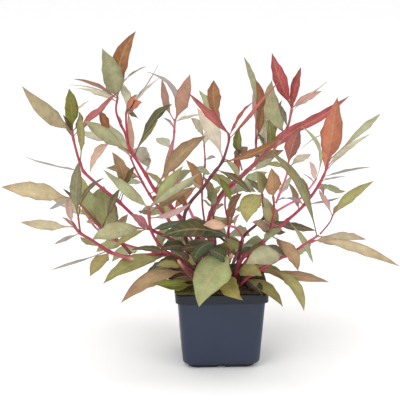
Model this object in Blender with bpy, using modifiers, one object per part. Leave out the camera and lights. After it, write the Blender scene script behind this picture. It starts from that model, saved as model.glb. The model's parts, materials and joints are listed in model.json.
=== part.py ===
"""Potted alternanthera: a square nursery pot, its soil and a spreading bush of leafy stems.

Metres, +Z up, the front faces -Y.  The origin is the centre of the flat underside of the pot.

The bush is laid out on a front sheet of 400 by 400 units.  A place on it is written
(across, down, depth), with depth in mm behind (+) or before (-) the axis of the pot, and
place() turns that into metres.
"""
import math
from collections import namedtuple

import bmesh
import bpy
from mathutils import Matrix, Vector
from mathutils.bvhtree import BVHTree

MM = 0.001
MERGE = 0.00001

# Pot
POT_HEIGHT = 76.5
RIM_WIDTH = 89.0
RIM_BAND = 9.0
RIM_WALL = 1.7
RIM_EDGE = 0.6
BAND_STEP = 1.2
BODY_TOP_WIDTH = 83.3
BODY_BASE_WIDTH = 75.0
BODY_BASE_HEIGHT = 9.0
BASE_INSET = 2.2
BASE_ROUND = 0.5
BASE_ROUND_HEIGHT = 5.6
POT_WALL = 1.4
FLOOR = 1.6
LEDGE = 5.2
FOOT_WIDTH = 64.6
FOOT_WALL = 1.6
FOOT_HEIGHT = 3.6
RIM_CORNER = 6.0
BASE_CORNER = 10.0
CORNER_STEPS = 5
POT_YAW = math.radians(2.7)
NOTCH_WIDTH = 7.8
NOTCH_HEIGHT = 2.9
NOTCH_DEPTH = 7.0

# Soil
SOIL_GAP = 0.35
SOIL_WIDTH = 89.6
SOIL_STAND = 5.5
SOIL_CROWN = 4.5
SOIL_RINGS = 4
SOIL_DOME = 2.2
SOIL_LUMP = 0.7
LUMP_REACH = 0.9
LUMP_WAVES = (310.0, 270.0, 90.0)

# Front sheet
SHEET_MIDDLE = 200.0
SHEET_FOCUS = 1659.0
EYE_DISTANCE = 1.6
EYE_TARGET = Vector((-0.0193, 0.0, 0.1588))
EYE_SLOPE = math.radians(14.0)

# Stems and leaves
JOIN_GAP = 0.35
CLEARANCE = 0.4
SIDE_CLEARANCE = 1.5
MIDRIB = 0.9
KEEL = 2
FOLD = 0.16
TIP_REACH = 1.6
HOLD = 0.5
END_ON = 0.4
MID_BELLY = 0.43
THIN_STEM = 1.75
PETIOLE_SHARE = 0.16
BROAD_LEAF = 16.0
SLIM_STATIONS = (0.13, 0.42, 0.74)
SLIM_SHARES = (PETIOLE_SHARE, 1.0, 0.52)
BROAD_STATIONS = (0.09, 0.27, 0.52, 0.79)
BROAD_SHARES = (PETIOLE_SHARE, 0.84, 0.96, 0.42)
SWINGS = (0, 6, -6, 12, -12, 18, -18, 26, -26, 34, -34, 44, -44, 56, -56, 70, -70)

# Looks: a linear color and a roughness
POT_LOOK = ((0.052, 0.060, 0.085, 1.0), 0.45)
SOIL_LOOK = ((0.060, 0.032, 0.017, 1.0), 0.9)
LEAFY_LOOK = ((0.210, 0.190, 0.085, 1.0), 0.5)

# A stem's route is a list of places on the sheet; its radii are in mm.  A leaf runs from the
# place on the stem nearest to its base to its tip.  Facing is how much of its width the sheet
# shows, bow is its sideways bend against its length, and belly says where it is widest.
Stem = namedtuple("Stem", "name parent route base_radius tip_radius leaves")
Leaf = namedtuple("Leaf", "base_across base_down tip_across tip_down tip_depth width facing bow belly",
                  defaults=(MID_BELLY,))

PLANT = [
    Stem("stem_left_low", None,
         [(206, 290, -10), (190, 266, -20), (165, 254, -32), (133, 257, -42), (112, 253, -48),
          (93, 241, -52), (80, 233, -55), (75, 227, -57), (72, 221, -58)],
         2.3, 1.2, [
             Leaf(74, 229, 20, 222, -75, 12, 0.75, -0.05, 0.53),
             Leaf(78, 233, 54, 244.5, -28, 4.5, 0.8, 0, 0.52),
             Leaf(105, 254, 51, 270, -66, 3.5, 0.8, -0.02, 0.62),
             Leaf(107, 254, 90, 276.5, -88, 14.5, 0.85, 0.06),
             Leaf(100, 249, 80, 237, -18, 8, 0.7, -0.07, 0.51),
             Leaf(73, 226, 70, 195, -36, 8, 0.8, -0.18, 0.49),
             Leaf(74, 227, 62, 217, -68, 4, 0.7, 0.05),
             Leaf(167, 253, 131, 250, -2, 8, 0.7, 0.15),
             Leaf(172, 255, 103, 284, -74, 17, 0.85, 0.18, 0.54),
             Leaf(188, 265, 170, 250, -2, 15, 0.8, 0.1),
         ]),
    Stem("shoot_left_low", "stem_left_low",
         [(80, 231, -56), (79, 223, -61), (78, 216, -64)],
         1.1, 0.9, [
             Leaf(78, 217, 79, 161, -88, 12, 0.95, 0.08, 0.52),
             Leaf(79, 214, 104, 178, -34, 10, 0.55, 0.27, 0.66),
         ]),
    Stem("stem_left_mid", "stem_left_low",
         [(131, 254, -41), (121, 243, -38), (110, 235, -36), (100, 227, -34), (90, 215, -32),
          (80, 204, -30), (71, 197, -30)],
         1.9, 1.1, [
             Leaf(72, 197, 1, 187, -52, 18, 0.9, 0.03, 0.52),
             Leaf(72, 198, 49, 209.5, 12, 6, 0.7, 0.03, 0.55),
             Leaf(73, 197, 63, 189, -44, 4, 0.6, 0.05),
             Leaf(102, 228, 85, 188, 4, 22, 0.9, -0.04, 0.51),
             Leaf(109, 234, 104, 186, -4, 23, 0.9, -0.02),
             Leaf(106, 225, 120, 189, -58, 10, 0.7, 0.03, 0.67),
             Leaf(97, 222, 86, 222, 0, 5, 0.5, 0.05),
         ]),
    Stem("stub_left_low", "stem_left_low",
         [(112, 253, -48), (124, 257, -54), (134, 259, -58)],
         2.2, 2.1, []),
    Stem("stem_front_left", None,
         [(211, 292, -20), (192, 272, -32), (171, 256, -44), (158, 243, -52), (151, 230, -58),
          (149, 216, -60), (149, 206, -61)],
         1.9, 1.2, [
             Leaf(149, 208, 103, 169.5, -72, 11.5, 0.9, 0),
             Leaf(150, 207, 183, 166, -44, 12, 0.8, 0.01, 0.56),
             Leaf(150, 209, 201, 172, -74, 9, 0.8, 0),
             Leaf(150, 212, 193, 187, -50, 12, 0.7, 0.03, 0.53),
             Leaf(150, 217, 191, 203, -88, 8, 0.75, -0.14, 0.5),
             Leaf(150, 230, 131, 214, -76, 10, 0.85, 0.02, 0.51),
             Leaf(150, 229, 92, 239.5, -96, 17, 0.85, 0.14, 0.6),
             Leaf(149, 228, 113, 247, -40, 10, 0.65, 0.07, 0.55),
             Leaf(151, 229, 190, 221, -36, 10, 0.6, 0.02),
             Leaf(149, 217, 138, 211, -34, 8, 0.6, 0.1),
             Leaf(188, 265, 158, 262, -66, 12, 0.85, 0.12, 0.53),
             Leaf(198, 278, 168, 280, -24, 15, 0.8, 0.12),
         ]),
    Stem("stem_left_high", None,
         [(213, 287, -4), (200, 262, -8), (172, 240, -14), (152, 230, -19), (135, 217, -22),
          (118, 201, -20), (97, 184, -12), (84, 172, -6), (81, 165, -3), (78, 157, -2), (75, 146, 1),
          (73, 137, 3), (72, 128, 4)],
         2.0, 1.1, [
             Leaf(73, 130, 22, 86, -14, 15.5, 0.95, -0.11),
             Leaf(73, 129, 69, 88.5, -24, 14, 0.9, 0.03, 0.53),
             Leaf(73, 129, 89, 101, 42, 8, 0.6, 0.28, 0.51),
             Leaf(80, 163, 80, 112, -24, 9, 0.9, -0.05, 0.59),
             Leaf(73, 139, 66, 118, 26, 6, 0.7, -0.1, 0.54),
             Leaf(74, 137, 119, 90.5, -18, 15.5, 0.45, 0),
             Leaf(74, 131, 79, 112, 14, 9, 0.7, -0.43, 0.5),
             Leaf(73, 130, 63, 115, 0, 6, 0.7, 0.05),
             Leaf(83, 171, 26, 157, 40, 12, 0.1, -0.05),
             Leaf(120, 201, 112, 152, -40, 12, 0.9, 0.23, 0.61),
             Leaf(118, 200, 135, 166, -42, 9, 0.55, 0.02, 0.67),
             Leaf(201, 264, 178, 262, 18, 15, 0.8, 0.12),
         ]),
    Stem("stem_top_left", None,
         [(215, 285, 2), (205, 250, 4), (190, 228, 2), (172, 208, 0), (155, 190, 0), (146, 175, 2),
          (136, 159, 5), (129, 147, 8), (125, 133, 10), (120, 123, 12), (116, 110, 14),
          (118, 96, 15)],
         2.5, 1.0, [
             Leaf(118, 97, 136, 31, 2, 17, 0.95, 0.18, 0.5),
             Leaf(118, 98, 102, 48, -24, 20, 0.98, 0.04),
             Leaf(117, 100, 74, 79, -2, 11, 0.35, 0.12),
             Leaf(117, 101, 76, 88, 62, 12, 0.45, 0.06),
             Leaf(118, 98, 146, 66.5, 50, 10, 0.12, 0.24),
             Leaf(121, 125, 118, 115, 22, 4, 0.8, 0.02),
             Leaf(134, 155, 172, 104, -14, 13, 0.6, 0.17, 0.65),
             Leaf(130, 148, 149, 169, 54, 15, 0.9, 0.17),
             Leaf(133, 157, 84, 121, -22, 14, 0.9, 0.03, 0.6),
             Leaf(156, 190, 206, 135.5, -26, 16, 0.9, 0.12, 0.6),
             Leaf(173, 209, 197, 186, 22, 11, 0.7, 0.06),
             Leaf(146, 175, 150, 158, 48, 8, 0.55, 0.06),
             Leaf(206, 256, 182, 242, 30, 15, 0.8, 0.1),
             Leaf(117, 98, 69, 85, 30, 8, 0.2, 0.12),
         ]),
    Stem("shoot_top_left", "stem_top_left",
         [(128, 143, 7), (127, 133, 3), (126, 121, 1), (126, 111, 0)],
         1.3, 0.9, [
             Leaf(126, 111, 142, 102, -38, 12, 0.85, 0.06),
             Leaf(126, 113, 121, 82, 36, 11, 0.8, 0.12, 0.59),
             Leaf(126, 112, 158, 65, 6, 11, 0.14, -0.06),
             Leaf(126, 113, 159, 78, 50, 12, 0.35, 0.05),
             Leaf(126, 114, 138, 119, -36, 9, 0.6, 0.2),
             Leaf(127, 110, 137, 94, -30, 8, 0.8, 0.06),
         ]),
    Stem("shoot_left_back", "stem_top_left",
         [(130, 151, 14), (121, 147, 24), (109, 141, 32)],
         1.1, 0.8, [
             Leaf(110, 142, 99, 111, 16, 10, 0.8, 0.09, 0.66),
             Leaf(109, 141, 90, 173, 46, 10.5, 0.85, 0.21),
             Leaf(110, 142, 80, 131, 62, 12, 0.7, -0.03, 0.49),
         ]),
    Stem("stem_back_mid", None,
         [(219, 282, 14), (208, 250, 28), (192, 215, 48), (178, 185, 66), (172, 160, 78),
          (174, 135, 88), (175, 119, 92)],
         1.8, 1.1, [
             Leaf(175, 120, 190, 74, 68, 15.5, 0.95, -0.03, 0.5),
             Leaf(174, 120, 162, 79, 78, 10, 0.8, -0.14, 0.57),
             Leaf(175, 120, 147, 72, 112, 11, 0.5, 0.48),
             Leaf(174, 132, 163, 118, 60, 5, 0.5, 0.15),
             Leaf(175, 122, 203, 115, 120, 9, 0.35, 0.05),
             Leaf(172, 151, 156, 138, 122, 12, 0.9, 0.12, 0.61),
             Leaf(180, 190, 205, 177, 104, 12, 0.6, 0.08),
             Leaf(196, 222, 206, 232, 84, 10, 0.6, 0.1),
         ]),
    Stem("stem_center", None,
         [(211, 288, -12), (197, 262, -26), (186, 240, -32), (184, 218, -33), (190, 203, -33),
          (201, 190, -32), (213, 174, -32), (222, 162, -34), (227, 148, -38), (229, 139, -40),
          (228, 132, -41)],
         2.2, 1.0, [
             Leaf(228, 134, 188, 92, -62, 13, 0.6, -0.02),
             Leaf(228, 133, 199, 90, -12, 12, 0.7, 0, 0.6),
             Leaf(228, 133, 214, 80, -34, 14.5, 0.9, -0.22, 0.7),
             Leaf(222, 160, 197, 108, 12, 15, 0.95, 0.08, 0.53),
             Leaf(229, 137, 253, 102, -72, 9, 0.4, 0.08),
             Leaf(229, 138, 282, 79, -52, 9, 0.38, 0),
             Leaf(212, 176, 197, 170, -62, 9, 0.7, 0.09, 0.56),
             Leaf(222, 163, 281, 137, -52, 9, 0.75, -0.12, 0.49),
             Leaf(202, 189, 186, 160, -50, 12, 0.8, 0.06),
             Leaf(216, 171, 251, 193, -66, 10, 0.6, 0.1),
             Leaf(215, 172, 231, 202, -52, 8, 0.8, 0.09, 0.58),
             Leaf(188, 207, 174, 196, -62, 10, 0.7, 0.1),
             Leaf(190, 250, 160, 250, -70, 15, 0.7, 0.14),
             Leaf(186, 236, 204, 222, -60, 13, 0.8, 0.1),
         ]),
    Stem("stem_right_top", None,
         [(223, 285, 2), (212, 250, 4), (208, 222, 5), (222, 193, 8), (240, 177, 11),
          (256, 162, 14), (268, 150, 18), (281, 138, 22), (288, 126, 25), (291, 113, 27),
          (292, 106, 28)],
         2.4, 1.0, [
             Leaf(291, 109, 272, 53, 8, 14.5, 0.95, -0.06, 0.5),
             Leaf(292, 107, 301, 67, -2, 12, 0.65, 0.03),
             Leaf(292, 108, 322, 91, 60, 10, 0.7, 0.05),
             Leaf(291, 113, 327, 82, -12, 9, 0.14, 0.03),
             Leaf(291, 110, 290, 93, 42, 6, 0.7, 0.04),
             Leaf(285, 132, 272, 80, 60, 20, 0.95, -0.22),
             Leaf(287, 128, 278, 103, -14, 10, 0.5, 0.04),
             Leaf(271, 148, 269, 119, -14, 11, 0.8, 0.04),
             Leaf(268, 150, 263, 124, 52, 8, 0.6, 0.04),
             Leaf(285, 132, 349, 96, 12, 13, 0.7, -0.11),
             Leaf(246, 171, 272, 158, 56, 9, 0.6, -0.11, 0.64),
             Leaf(280, 139, 273, 154, -20, 9, 0.8, 0.1),
             Leaf(267, 151, 257, 133, -16, 7, 0.5, 0.06),
             Leaf(213, 207, 203, 200, 40, 7, 0.6, 0.06),
             Leaf(212, 214, 224, 205, 46, 9, 0.6, 0.1),
             Leaf(209, 231, 189, 226, 42, 12, 0.6, 0.12),
         ]),
    Stem("shoot_mid_top", "stem_right_top",
         [(256, 157, 16), (256, 146, 20), (256, 133, 23), (256, 122, 25)],
         1.2, 0.9, [
             Leaf(256, 124, 244, 57, 44, 9, 0.7, 0.14, 0.65),
             Leaf(256, 124, 256, 80, -2, 10.5, 0.85, 0.14, 0.55),
             Leaf(256, 123, 253.5, 88, 58, 9, 0.75, 0.01, 0.52),
             Leaf(256, 143, 263, 105, -12, 8, 0.9, -0.01, 0.62),
             Leaf(256, 140, 266, 128, 60, 9, 0.5, 0.06),
         ]),
    Stem("shoot_center_right", "stem_right_top",
         [(242, 170, 5), (240, 162, -3), (238, 153, -8)],
         0.9, 0.7, [
             Leaf(238, 154, 239.5, 127, -30, 10, 0.85, 0.04),
             Leaf(238, 155, 248, 147, -38, 9, 0.7, 0.08),
             Leaf(238, 155, 234, 152, -36, 7, 0.6, 0.08),
         ]),
    Stem("stem_right_front", None,
         [(233, 291, -20), (240, 262, -34), (253, 250, -42), (267, 237, -50), (272, 222, -55),
          (274, 207, -58), (273, 195, -60)],
         2.2, 1.1, [
             Leaf(273, 198, 271.5, 168, -92, 15, 0.95, 0),
             Leaf(268, 235, 298, 271, -80, 13, 0.9, 0.27, 0.6),
             Leaf(256, 248, 264, 244, -6, 10, 0.7, 0.1),
             Leaf(272, 224, 262, 207, -96, 10, 0.6, 0.1),
             Leaf(237, 272, 262, 276, -66, 15, 0.85, 0.16),
             Leaf(246, 256, 270, 250, -70, 13, 0.8, 0.12),
             Leaf(262, 241, 283, 229, -84, 9, 0.8, 0.08),
             Leaf(270, 232, 252, 222, -90, 11, 0.8, 0.1),
         ]),
    Stem("stem_right_high", "stem_right_front",
         [(269, 234, -49), (285, 222, -44), (296, 213, -40), (304, 205, -36), (313, 194, -32),
          (322, 179, -28), (327, 167, -26), (328, 159, -25)],
         1.8, 1.1, [
             Leaf(328, 160, 337.5, 97, -42, 20.5, 0.98, 0.01),
             Leaf(328, 162, 380.5, 113.5, 6, 9, 0.65, -0.01, 0.66),
             Leaf(328, 166, 370.5, 134, 28, 8, 0.65, 0.06),
             Leaf(328, 160, 301, 149, 24, 4, 0.6, 0.8),
             Leaf(325, 178, 371, 167, 8, 10, 0.16, 0),
             Leaf(322, 182, 346, 176, 32, 8, 0.16, 0),
             Leaf(319, 184, 346, 191, 14, 8, 0.7, -0.08),
             Leaf(318, 186, 324, 196, 4, 5, 0.7, 0.2),
             Leaf(304, 205, 277, 201, 14, 9, 0.22, 0.14),
             Leaf(289, 223, 313, 263, -14, 8, 0.8, 0.08, 0.56),
             Leaf(304, 205, 304, 182, -68, 9, 0.6, 0.1),
             Leaf(304, 206, 341, 197, 10, 3, 0.8, -0.04, 0.53),
         ]),
    Stem("shoot_right_pink", "stem_right_front",
         [(277, 211, -60), (289, 204, -64), (301, 198, -62), (309, 189, -58), (317, 178, -54)],
         1.2, 0.8, [
             Leaf(316, 181, 309.5, 161, -84, 8, 0.8, 0.03),
             Leaf(317, 178, 301, 126, -64, 6, 0.6, 0.38, 0.49),
             Leaf(314, 182, 303, 173.5, -30, 4, 0.4, 0.04),
         ]),
    Stem("shoot_right_upper", "stem_right_front",
         [(276, 203, -57), (281, 190, -51), (287, 174, -46), (288, 166, -45)],
         1.1, 0.9, [
             Leaf(289.5, 167, 300, 128, -26, 14.5, 0.95, 0.1, 0.55),
             Leaf(288, 168, 311, 154, -2, 10, 0.8, 0.05, 0.59),
             Leaf(279, 195, 291, 176, -8, 9, 0.7, -0.02),
             Leaf(287, 172, 266, 165, -86, 9, 0.5, 0.1),
         ]),
    Stem("stem_right_low", None,
         [(232, 294, -27), (250, 276, -44), (272, 263, -54), (285, 256, -58), (296, 250, -60),
          (308, 242, -62), (319, 235, -63)],
         1.7, 1.0, [
             Leaf(318, 235, 268, 150, -92, 10.5, 0.85, 0.17, 0.52),
             Leaf(311, 241, 400, 266.5, -70, 12, 0.8, 0.12, 0.5),
             Leaf(318, 235.5, 366, 239.5, -22, 10, 0.7, 0.03, 0.56),
             Leaf(285, 255, 246, 264, -84, 19, 0.9, 0.12, 0.51),
             Leaf(285, 256, 264, 246, -24, 12, 0.6, 0.12),
             Leaf(262, 270, 329, 282, -66, 11, 0.8, 0, 0.54),
             Leaf(264, 268, 304, 311, -86, 12.5, 0.85, 0.3, 0.55),
             Leaf(276, 261, 290, 250, -30, 13, 0.8, 0.08),
             Leaf(290, 253, 276, 240, -92, 12, 0.7, 0.08),
         ]),
    Stem("shoot_right_low", "stem_right_low",
         [(320, 234, -66), (327, 226, -69), (331, 220, -71), (333, 214, -72)],
         0.8, 0.6, [
             Leaf(333, 214, 374, 181, -60, 11, 0.8, 0.12),
             Leaf(332, 214, 319, 190, -48, 8, 0.7, 0.01, 0.56),
             Leaf(333, 215, 339, 204, -104, 4, 0.6, 0.05),
         ]),
    Stem("stem_right_inner", None,
         [(229, 289, -14), (238, 262, -22), (243, 238, -32), (256, 225, -42), (264, 217, -50),
          (263, 204, -56), (262, 192, -58)],
         1.8, 1.0, [
             Leaf(262, 192, 247, 223, -84, 20, 0.9, 0.26),
             Leaf(262, 193, 268.5, 224, -76, 9.5, 0.8, 0.14),
             Leaf(262, 193, 257, 171, -86, 14, 0.8, 0.08),
             Leaf(262, 194, 246, 178, -32, 11, 0.6, 0.08),
             Leaf(264, 220, 316, 230.5, -30, 10, 0.7, -0.04, 0.52),
             Leaf(262, 219, 286, 232, -78, 9, 0.6, -0.2, 0.5),
             Leaf(242, 243, 160, 237, -80, 18, 0.85, 0.17, 0.58),
             Leaf(241, 250, 222, 240, -10, 15, 0.8, 0.08),
             Leaf(240, 256, 262, 254, -8, 15, 0.8, 0.1),
         ]),
    Stem("shoot_front_pink", "stem_right_inner",
         [(243, 241, -31), (241, 234, -42), (236, 228, -52), (230, 226, -58)],
         1.5, 1.0, [
             Leaf(230, 226, 203, 225, -74, 11, 0.85, 0.04, 0.55),
             Leaf(236, 228, 240, 214, -60, 4, 0.7, 0.33, 0.51),
         ]),
    Stem("stem_mid_back", None,
         [(222, 283, 10), (212, 250, 22), (204, 218, 32), (202, 190, 42), (205, 165, 48),
          (204, 143, 52)],
         1.3, 0.8, [
             Leaf(204, 143, 191, 118, 24, 9, 0.8, 0.16, 0.67),
             Leaf(204, 145, 216, 124, 92, 13, 0.7, 0.06),
             Leaf(204, 160, 216, 157.5, 92, 4, 0.3, 0.06),
             Leaf(205, 164, 193, 171, 92, 8, 0.5, -0.1),
             Leaf(202, 192, 190, 180, 88, 11, 0.6, 0.08),
             Leaf(206, 226, 226, 218, 64, 12, 0.6, 0.1),
         ]),
    Stem("stem_mid_front", None,
         [(219, 289, -6), (216, 250, -12), (214, 222, -15), (212, 206, -16), (213, 196, -17)],
         1.3, 0.8, [
             Leaf(215, 242, 194, 263, -62, 24, 0.85, 0.2),
             Leaf(213, 204, 207, 191, -48, 7, 0.7, 0.1),
             Leaf(213, 205, 217, 190, -52, 9, 0.7, 0.16, 0.33),
             Leaf(213, 198, 204, 177, -16, 11, 0.7, 0.06),
             Leaf(213, 200, 223, 184, 24, 10, 0.6, 0.08),
             Leaf(216, 254, 180, 250, -46, 17, 0.85, 0.14),
             Leaf(215, 236, 228, 243, -52, 12, 0.8, 0.14),
             Leaf(214, 228, 198, 224, -50, 8, 0.8, 0.08),
         ]),
    Stem("stem_mid_right", None,
         [(225, 288, -8), (229, 250, -14), (228, 222, -17), (225, 205, -19), (226, 189, -20)],
         1.3, 0.8, [
             Leaf(227, 214, 242, 193, -46, 11, 0.7, 0.05),
             Leaf(226, 190, 237, 184, 22, 9, 0.7, -0.09, 0.54),
             Leaf(228, 220, 236, 204, -58, 9, 0.6, 0.06),
             Leaf(226, 190, 219, 184, 28, 11, 0.6, 0.08),
         ]),
    Stem("stub_left", None,
         [(204, 292, -30), (194, 281, -45), (184, 269, -57), (178, 260, -63)],
         2.0, 1.8, [
             Leaf(187, 270, 121, 303, -78, 16.5, 0.85, 0.21, 0.5),
             Leaf(190, 274, 151, 276, -42, 15, 0.7, 0.07, 0.5),
             Leaf(193, 278, 151, 284, -86, 11, 0.6, -0.09, 0.5),
             Leaf(184, 266, 156, 266, -18, 12, 0.6, 0.12),
             Leaf(196, 284, 160, 286, -66, 10, 0.85, -0.05, 0.56),
             Leaf(188, 272, 146, 275, -60, 13, 0.85, 0.33, 0.65),
         ]),
    Stem("stub_front", None,
         [(220, 293, -26), (224, 276, -40), (228, 263, -48), (232, 254, -52)],
         2.0, 1.8, [
             Leaf(231, 256, 199, 307, -88, 33, 0.95, 0.19),
             Leaf(226, 269, 243, 300, -80, 20, 0.9, -0.29),
             Leaf(221, 282, 196, 292, -62, 15, 0.8, 0.16),
             Leaf(229, 261, 208, 250, -66, 15, 0.8, 0.1),
         ]),
    Stem("stub_right", None,
         [(238, 292, -22), (246, 276, -30), (252, 262, -32), (256, 256, -33)],
         2.0, 1.7, [
             Leaf(240, 278, 283, 307, -72, 13, 0.85, 0.18),
             Leaf(252, 263, 276, 262, 10, 12, 0.6, 0.14),
             Leaf(251, 266, 288, 284, -62, 11, 0.85, 0.2),
             Leaf(254, 260, 272, 248, -8, 15, 0.8, 0.1),
             Leaf(243, 281, 262, 296, -58, 13, 0.8, 0.2),
         ]),
    Stem("stem_back_right", None,
         [(226, 281, 20), (216, 252, 46), (211, 224, 72), (222, 196, 94), (239, 180, 110),
          (255, 165, 122), (266, 152, 130)],
         2.0, 1.0, [
             Leaf(266, 153, 282, 100, 150, 17, -0.85, 0.04),
             Leaf(266, 153, 257, 98, 122, 15, -0.75, 0.04),
             Leaf(266, 154, 318, 116, 146, 15, -0.75, 0.05),
             Leaf(262, 158, 248, 150, 158, 8, -0.75, 0.06),
             Leaf(250, 170, 274, 152, 166, 14, -0.75, 0.1),
             Leaf(240, 179, 224, 158, 140, 8, -0.75, 0.06),
             Leaf(222, 197, 244, 190, 150, 14, -0.75, 0.1),
             Leaf(212, 230, 236, 222, 100, 14, -0.75, 0.12),
             Leaf(212, 233, 190, 236, 92, 14, -0.75, 0.12),
             Leaf(216, 208, 206, 197, 118, 7, -0.75, 0.08),
             Leaf(230, 188, 256, 192, 130, 14, -0.75, 0.1),
             Leaf(256, 164, 284, 150, 112, 14, -0.75, 0.06),
             Leaf(219, 262, 200, 262, 74, 17, -0.75, 0.16),
         ]),
    Stem("stem_back_far_right", None,
         [(232, 282, 14), (247, 260, 38), (266, 240, 64), (284, 224, 86), (299, 210, 100),
          (311, 196, 108), (321, 181, 112), (326, 170, 113)],
         1.8, 1.0, [
             Leaf(326, 171, 334, 122, 126, 14, -0.85, 0.04),
             Leaf(326, 171, 366, 137, 140, 7, -0.75, 0.11, 0.58),
             Leaf(311, 196, 292, 172, 136, 9, -0.75, 0.05),
             Leaf(315, 190, 340, 189, 138, 7, -0.75, 0.1),
             Leaf(298, 210, 288, 182, 140, 8, -0.75, 0.06),
             Leaf(284, 224, 308, 228, 128, 8, -0.75, 0, 0.49),
             Leaf(270, 236, 262, 206, 126, 14, -0.75, 0.06),
             Leaf(255, 251, 246, 254, 70, 12, -0.75, 0.08),
             Leaf(259, 247, 278, 256, 84, 13, -0.75, 0.12),
             Leaf(276, 231, 268, 200, 92, 14, -0.75, 0.05),
             Leaf(308, 200, 297, 180, 112, 8, -0.75, 0.05),
             Leaf(250, 257, 268, 262, 84, 17, -0.75, 0.16),
         ]),
    Stem("stem_back_left", None,
         [(213, 282, 18), (200, 258, 44), (180, 234, 70), (162, 212, 88), (148, 192, 100),
          (136, 170, 108), (130, 156, 112)],
         2.0, 1.0, [
             Leaf(130, 157, 128, 112, 120, 9, -0.85, 0.04),
             Leaf(130, 158, 99, 118, 136, 15, -0.75, 0.05),
             Leaf(131, 159, 158, 120, 146, 8, -0.75, 0.04, 0.67),
             Leaf(140, 178, 106, 168, 142, 14, -0.75, 0.08),
             Leaf(148, 196, 176, 174, 144, 8, -0.75, -0.06, 0.57),
             Leaf(160, 210, 140, 214, 140, 8, -0.75, 0.12),
             Leaf(178, 232, 196, 228, 130, 10, -0.75, 0.06),
             Leaf(190, 246, 214, 232, 78, 14, -0.75, 0.1),
             Leaf(187, 242, 165, 246, 86, 15, -0.75, 0.12),
             Leaf(170, 222, 160, 190, 96, 14, -0.75, 0.05),
             Leaf(142, 182, 122, 184, 124, 8, -0.75, 0.1),
         ]),
    Stem("stem_back_far_left", None,
         [(206, 284, 10), (190, 264, 34), (166, 252, 58), (138, 248, 80), (114, 240, 96),
          (96, 228, 106), (86, 214, 110)],
         1.7, 1.0, [
             Leaf(86, 215, 78, 172, 124, 16, -0.85, 0.04),
             Leaf(86, 216, 46, 196, 132, 15, -0.75, 0.05),
             Leaf(87, 217, 104, 186, 138, 14, -0.75, 0.06),
             Leaf(104, 234, 92, 212, 140, 12, -0.75, 0.08),
             Leaf(116, 240, 128, 214, 136, 14, -0.75, 0.06),
             Leaf(140, 248, 112, 262, 118, 16, -0.75, 0.14),
             Leaf(156, 250, 170, 226, 124, 14, -0.75, 0.08),
             Leaf(177, 257, 186, 236, 72, 14, -0.75, 0.06),
             Leaf(168, 253, 150, 262, 86, 15, -0.75, 0.12),
             Leaf(124, 244, 96, 252, 122, 14, -0.75, 0.1),
         ]),
    Stem("stem_back_low_right", None,
         [(234, 284, 10), (250, 270, 34), (272, 260, 58), (296, 250, 78), (316, 240, 92)],
         1.6, 1.0, [
             Leaf(316, 241, 358, 250, 116, 16, -0.75, 0.14),
             Leaf(316, 241, 345, 240, 126, 10, -0.75, 0.05),
             Leaf(312, 242, 295, 258, 116, 12, -0.75, 0.05),
             Leaf(294, 251, 270, 258, 104, 13, -0.75, 0.16),
             Leaf(274, 259, 262, 250, 112, 12, -0.75, 0.06),
         ]),
    Stem("stem_back_inner", None,
         [(220, 280, 24), (222, 260, 54), (226, 240, 84), (231, 220, 110), (236, 202, 130),
          (238, 188, 142)],
         1.9, 1.0, [
             Leaf(238, 189, 239, 135, 150, 8, -0.85, 0.04),
             Leaf(238, 189, 268, 172, 172, 15, -0.75, 0.06),
             Leaf(238, 190, 208, 176, 170, 15, -0.75, 0.06),
             Leaf(234, 210, 260, 208, 166, 15, -0.75, 0.12),
             Leaf(227, 236, 250, 236, 140, 16, -0.75, 0.16),
             Leaf(226, 238, 206, 240, 140, 16, -0.75, 0.16),
             Leaf(223, 254, 242, 256, 98, 15, -0.75, 0.16),
             Leaf(223, 257, 206, 260, 84, 17, -0.75, 0.16),
         ]),
    Stem("stem_back_inner_left", None,
         [(214, 281, 20), (205, 260, 50), (192, 240, 80), (180, 220, 104), (170, 202, 122),
          (165, 186, 132)],
         1.8, 1.0, [
             Leaf(165, 187, 172, 140, 148, 7, -0.85, 0.04),
             Leaf(165, 187, 146, 172, 160, 8, -0.75, 0.06),
             Leaf(166, 189, 192, 170, 162, 15, -0.75, 0.08),
             Leaf(176, 212, 148, 216, 148, 15, -0.75, 0.14),
             Leaf(182, 224, 206, 226, 148, 10, -0.75, 0.14),
             Leaf(194, 244, 168, 248, 128, 16, -0.75, 0.18),
             Leaf(202, 254, 182, 262, 88, 15, -0.75, 0.16),
             Leaf(173, 207, 150, 198, 142, 14, -0.75, 0.08),
         ]),
    Stem("stub_back", None,
         [(228, 281, 26), (233, 264, 38), (238, 253, 52), (243, 245, 64)],
         2.0, 1.7, [
             Leaf(241, 257, 212, 250, 100, 18, -0.75, 0.2),
             Leaf(242, 254, 268, 248, 104, 18, -0.75, 0.2),
             Leaf(239, 260, 240, 244, 122, 18, -0.85, 0.24),
         ]),
]

SHEET_UP = Vector((0.0, math.sin(EYE_SLOPE), math.cos(EYE_SLOPE)))
SHEET_AWAY = Vector((0.0, math.cos(EYE_SLOPE), -math.sin(EYE_SLOPE)))


def clear_scene():
    """Remove what a new file holds."""
    for thing in list(bpy.data.objects):
        bpy.data.objects.remove(thing)


def new_collection(name):
    """Link a collection to the scene."""
    collection = bpy.data.collections.new(name)
    bpy.context.scene.collection.children.link(collection)
    return collection


def coat(thing, look):
    """Give an object its own Principled material."""
    color, roughness = look
    material = bpy.data.materials.new(thing.name)
    material.use_nodes = True
    shader = material.node_tree.nodes["Principled BSDF"]
    shader.inputs["Base Color"].default_value = color
    shader.inputs["Roughness"].default_value = roughness
    shader.inputs["Metallic"].default_value = 0.0
    thing.data.materials.clear()
    thing.data.materials.append(material)


def mesh_object(name, bm, collection):
    """Turn a bmesh into an object."""
    mesh = bpy.data.meshes.new(name)
    bm.to_mesh(mesh)
    bm.free()
    thing = bpy.data.objects.new(name, mesh)
    collection.objects.link(thing)
    return thing


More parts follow.
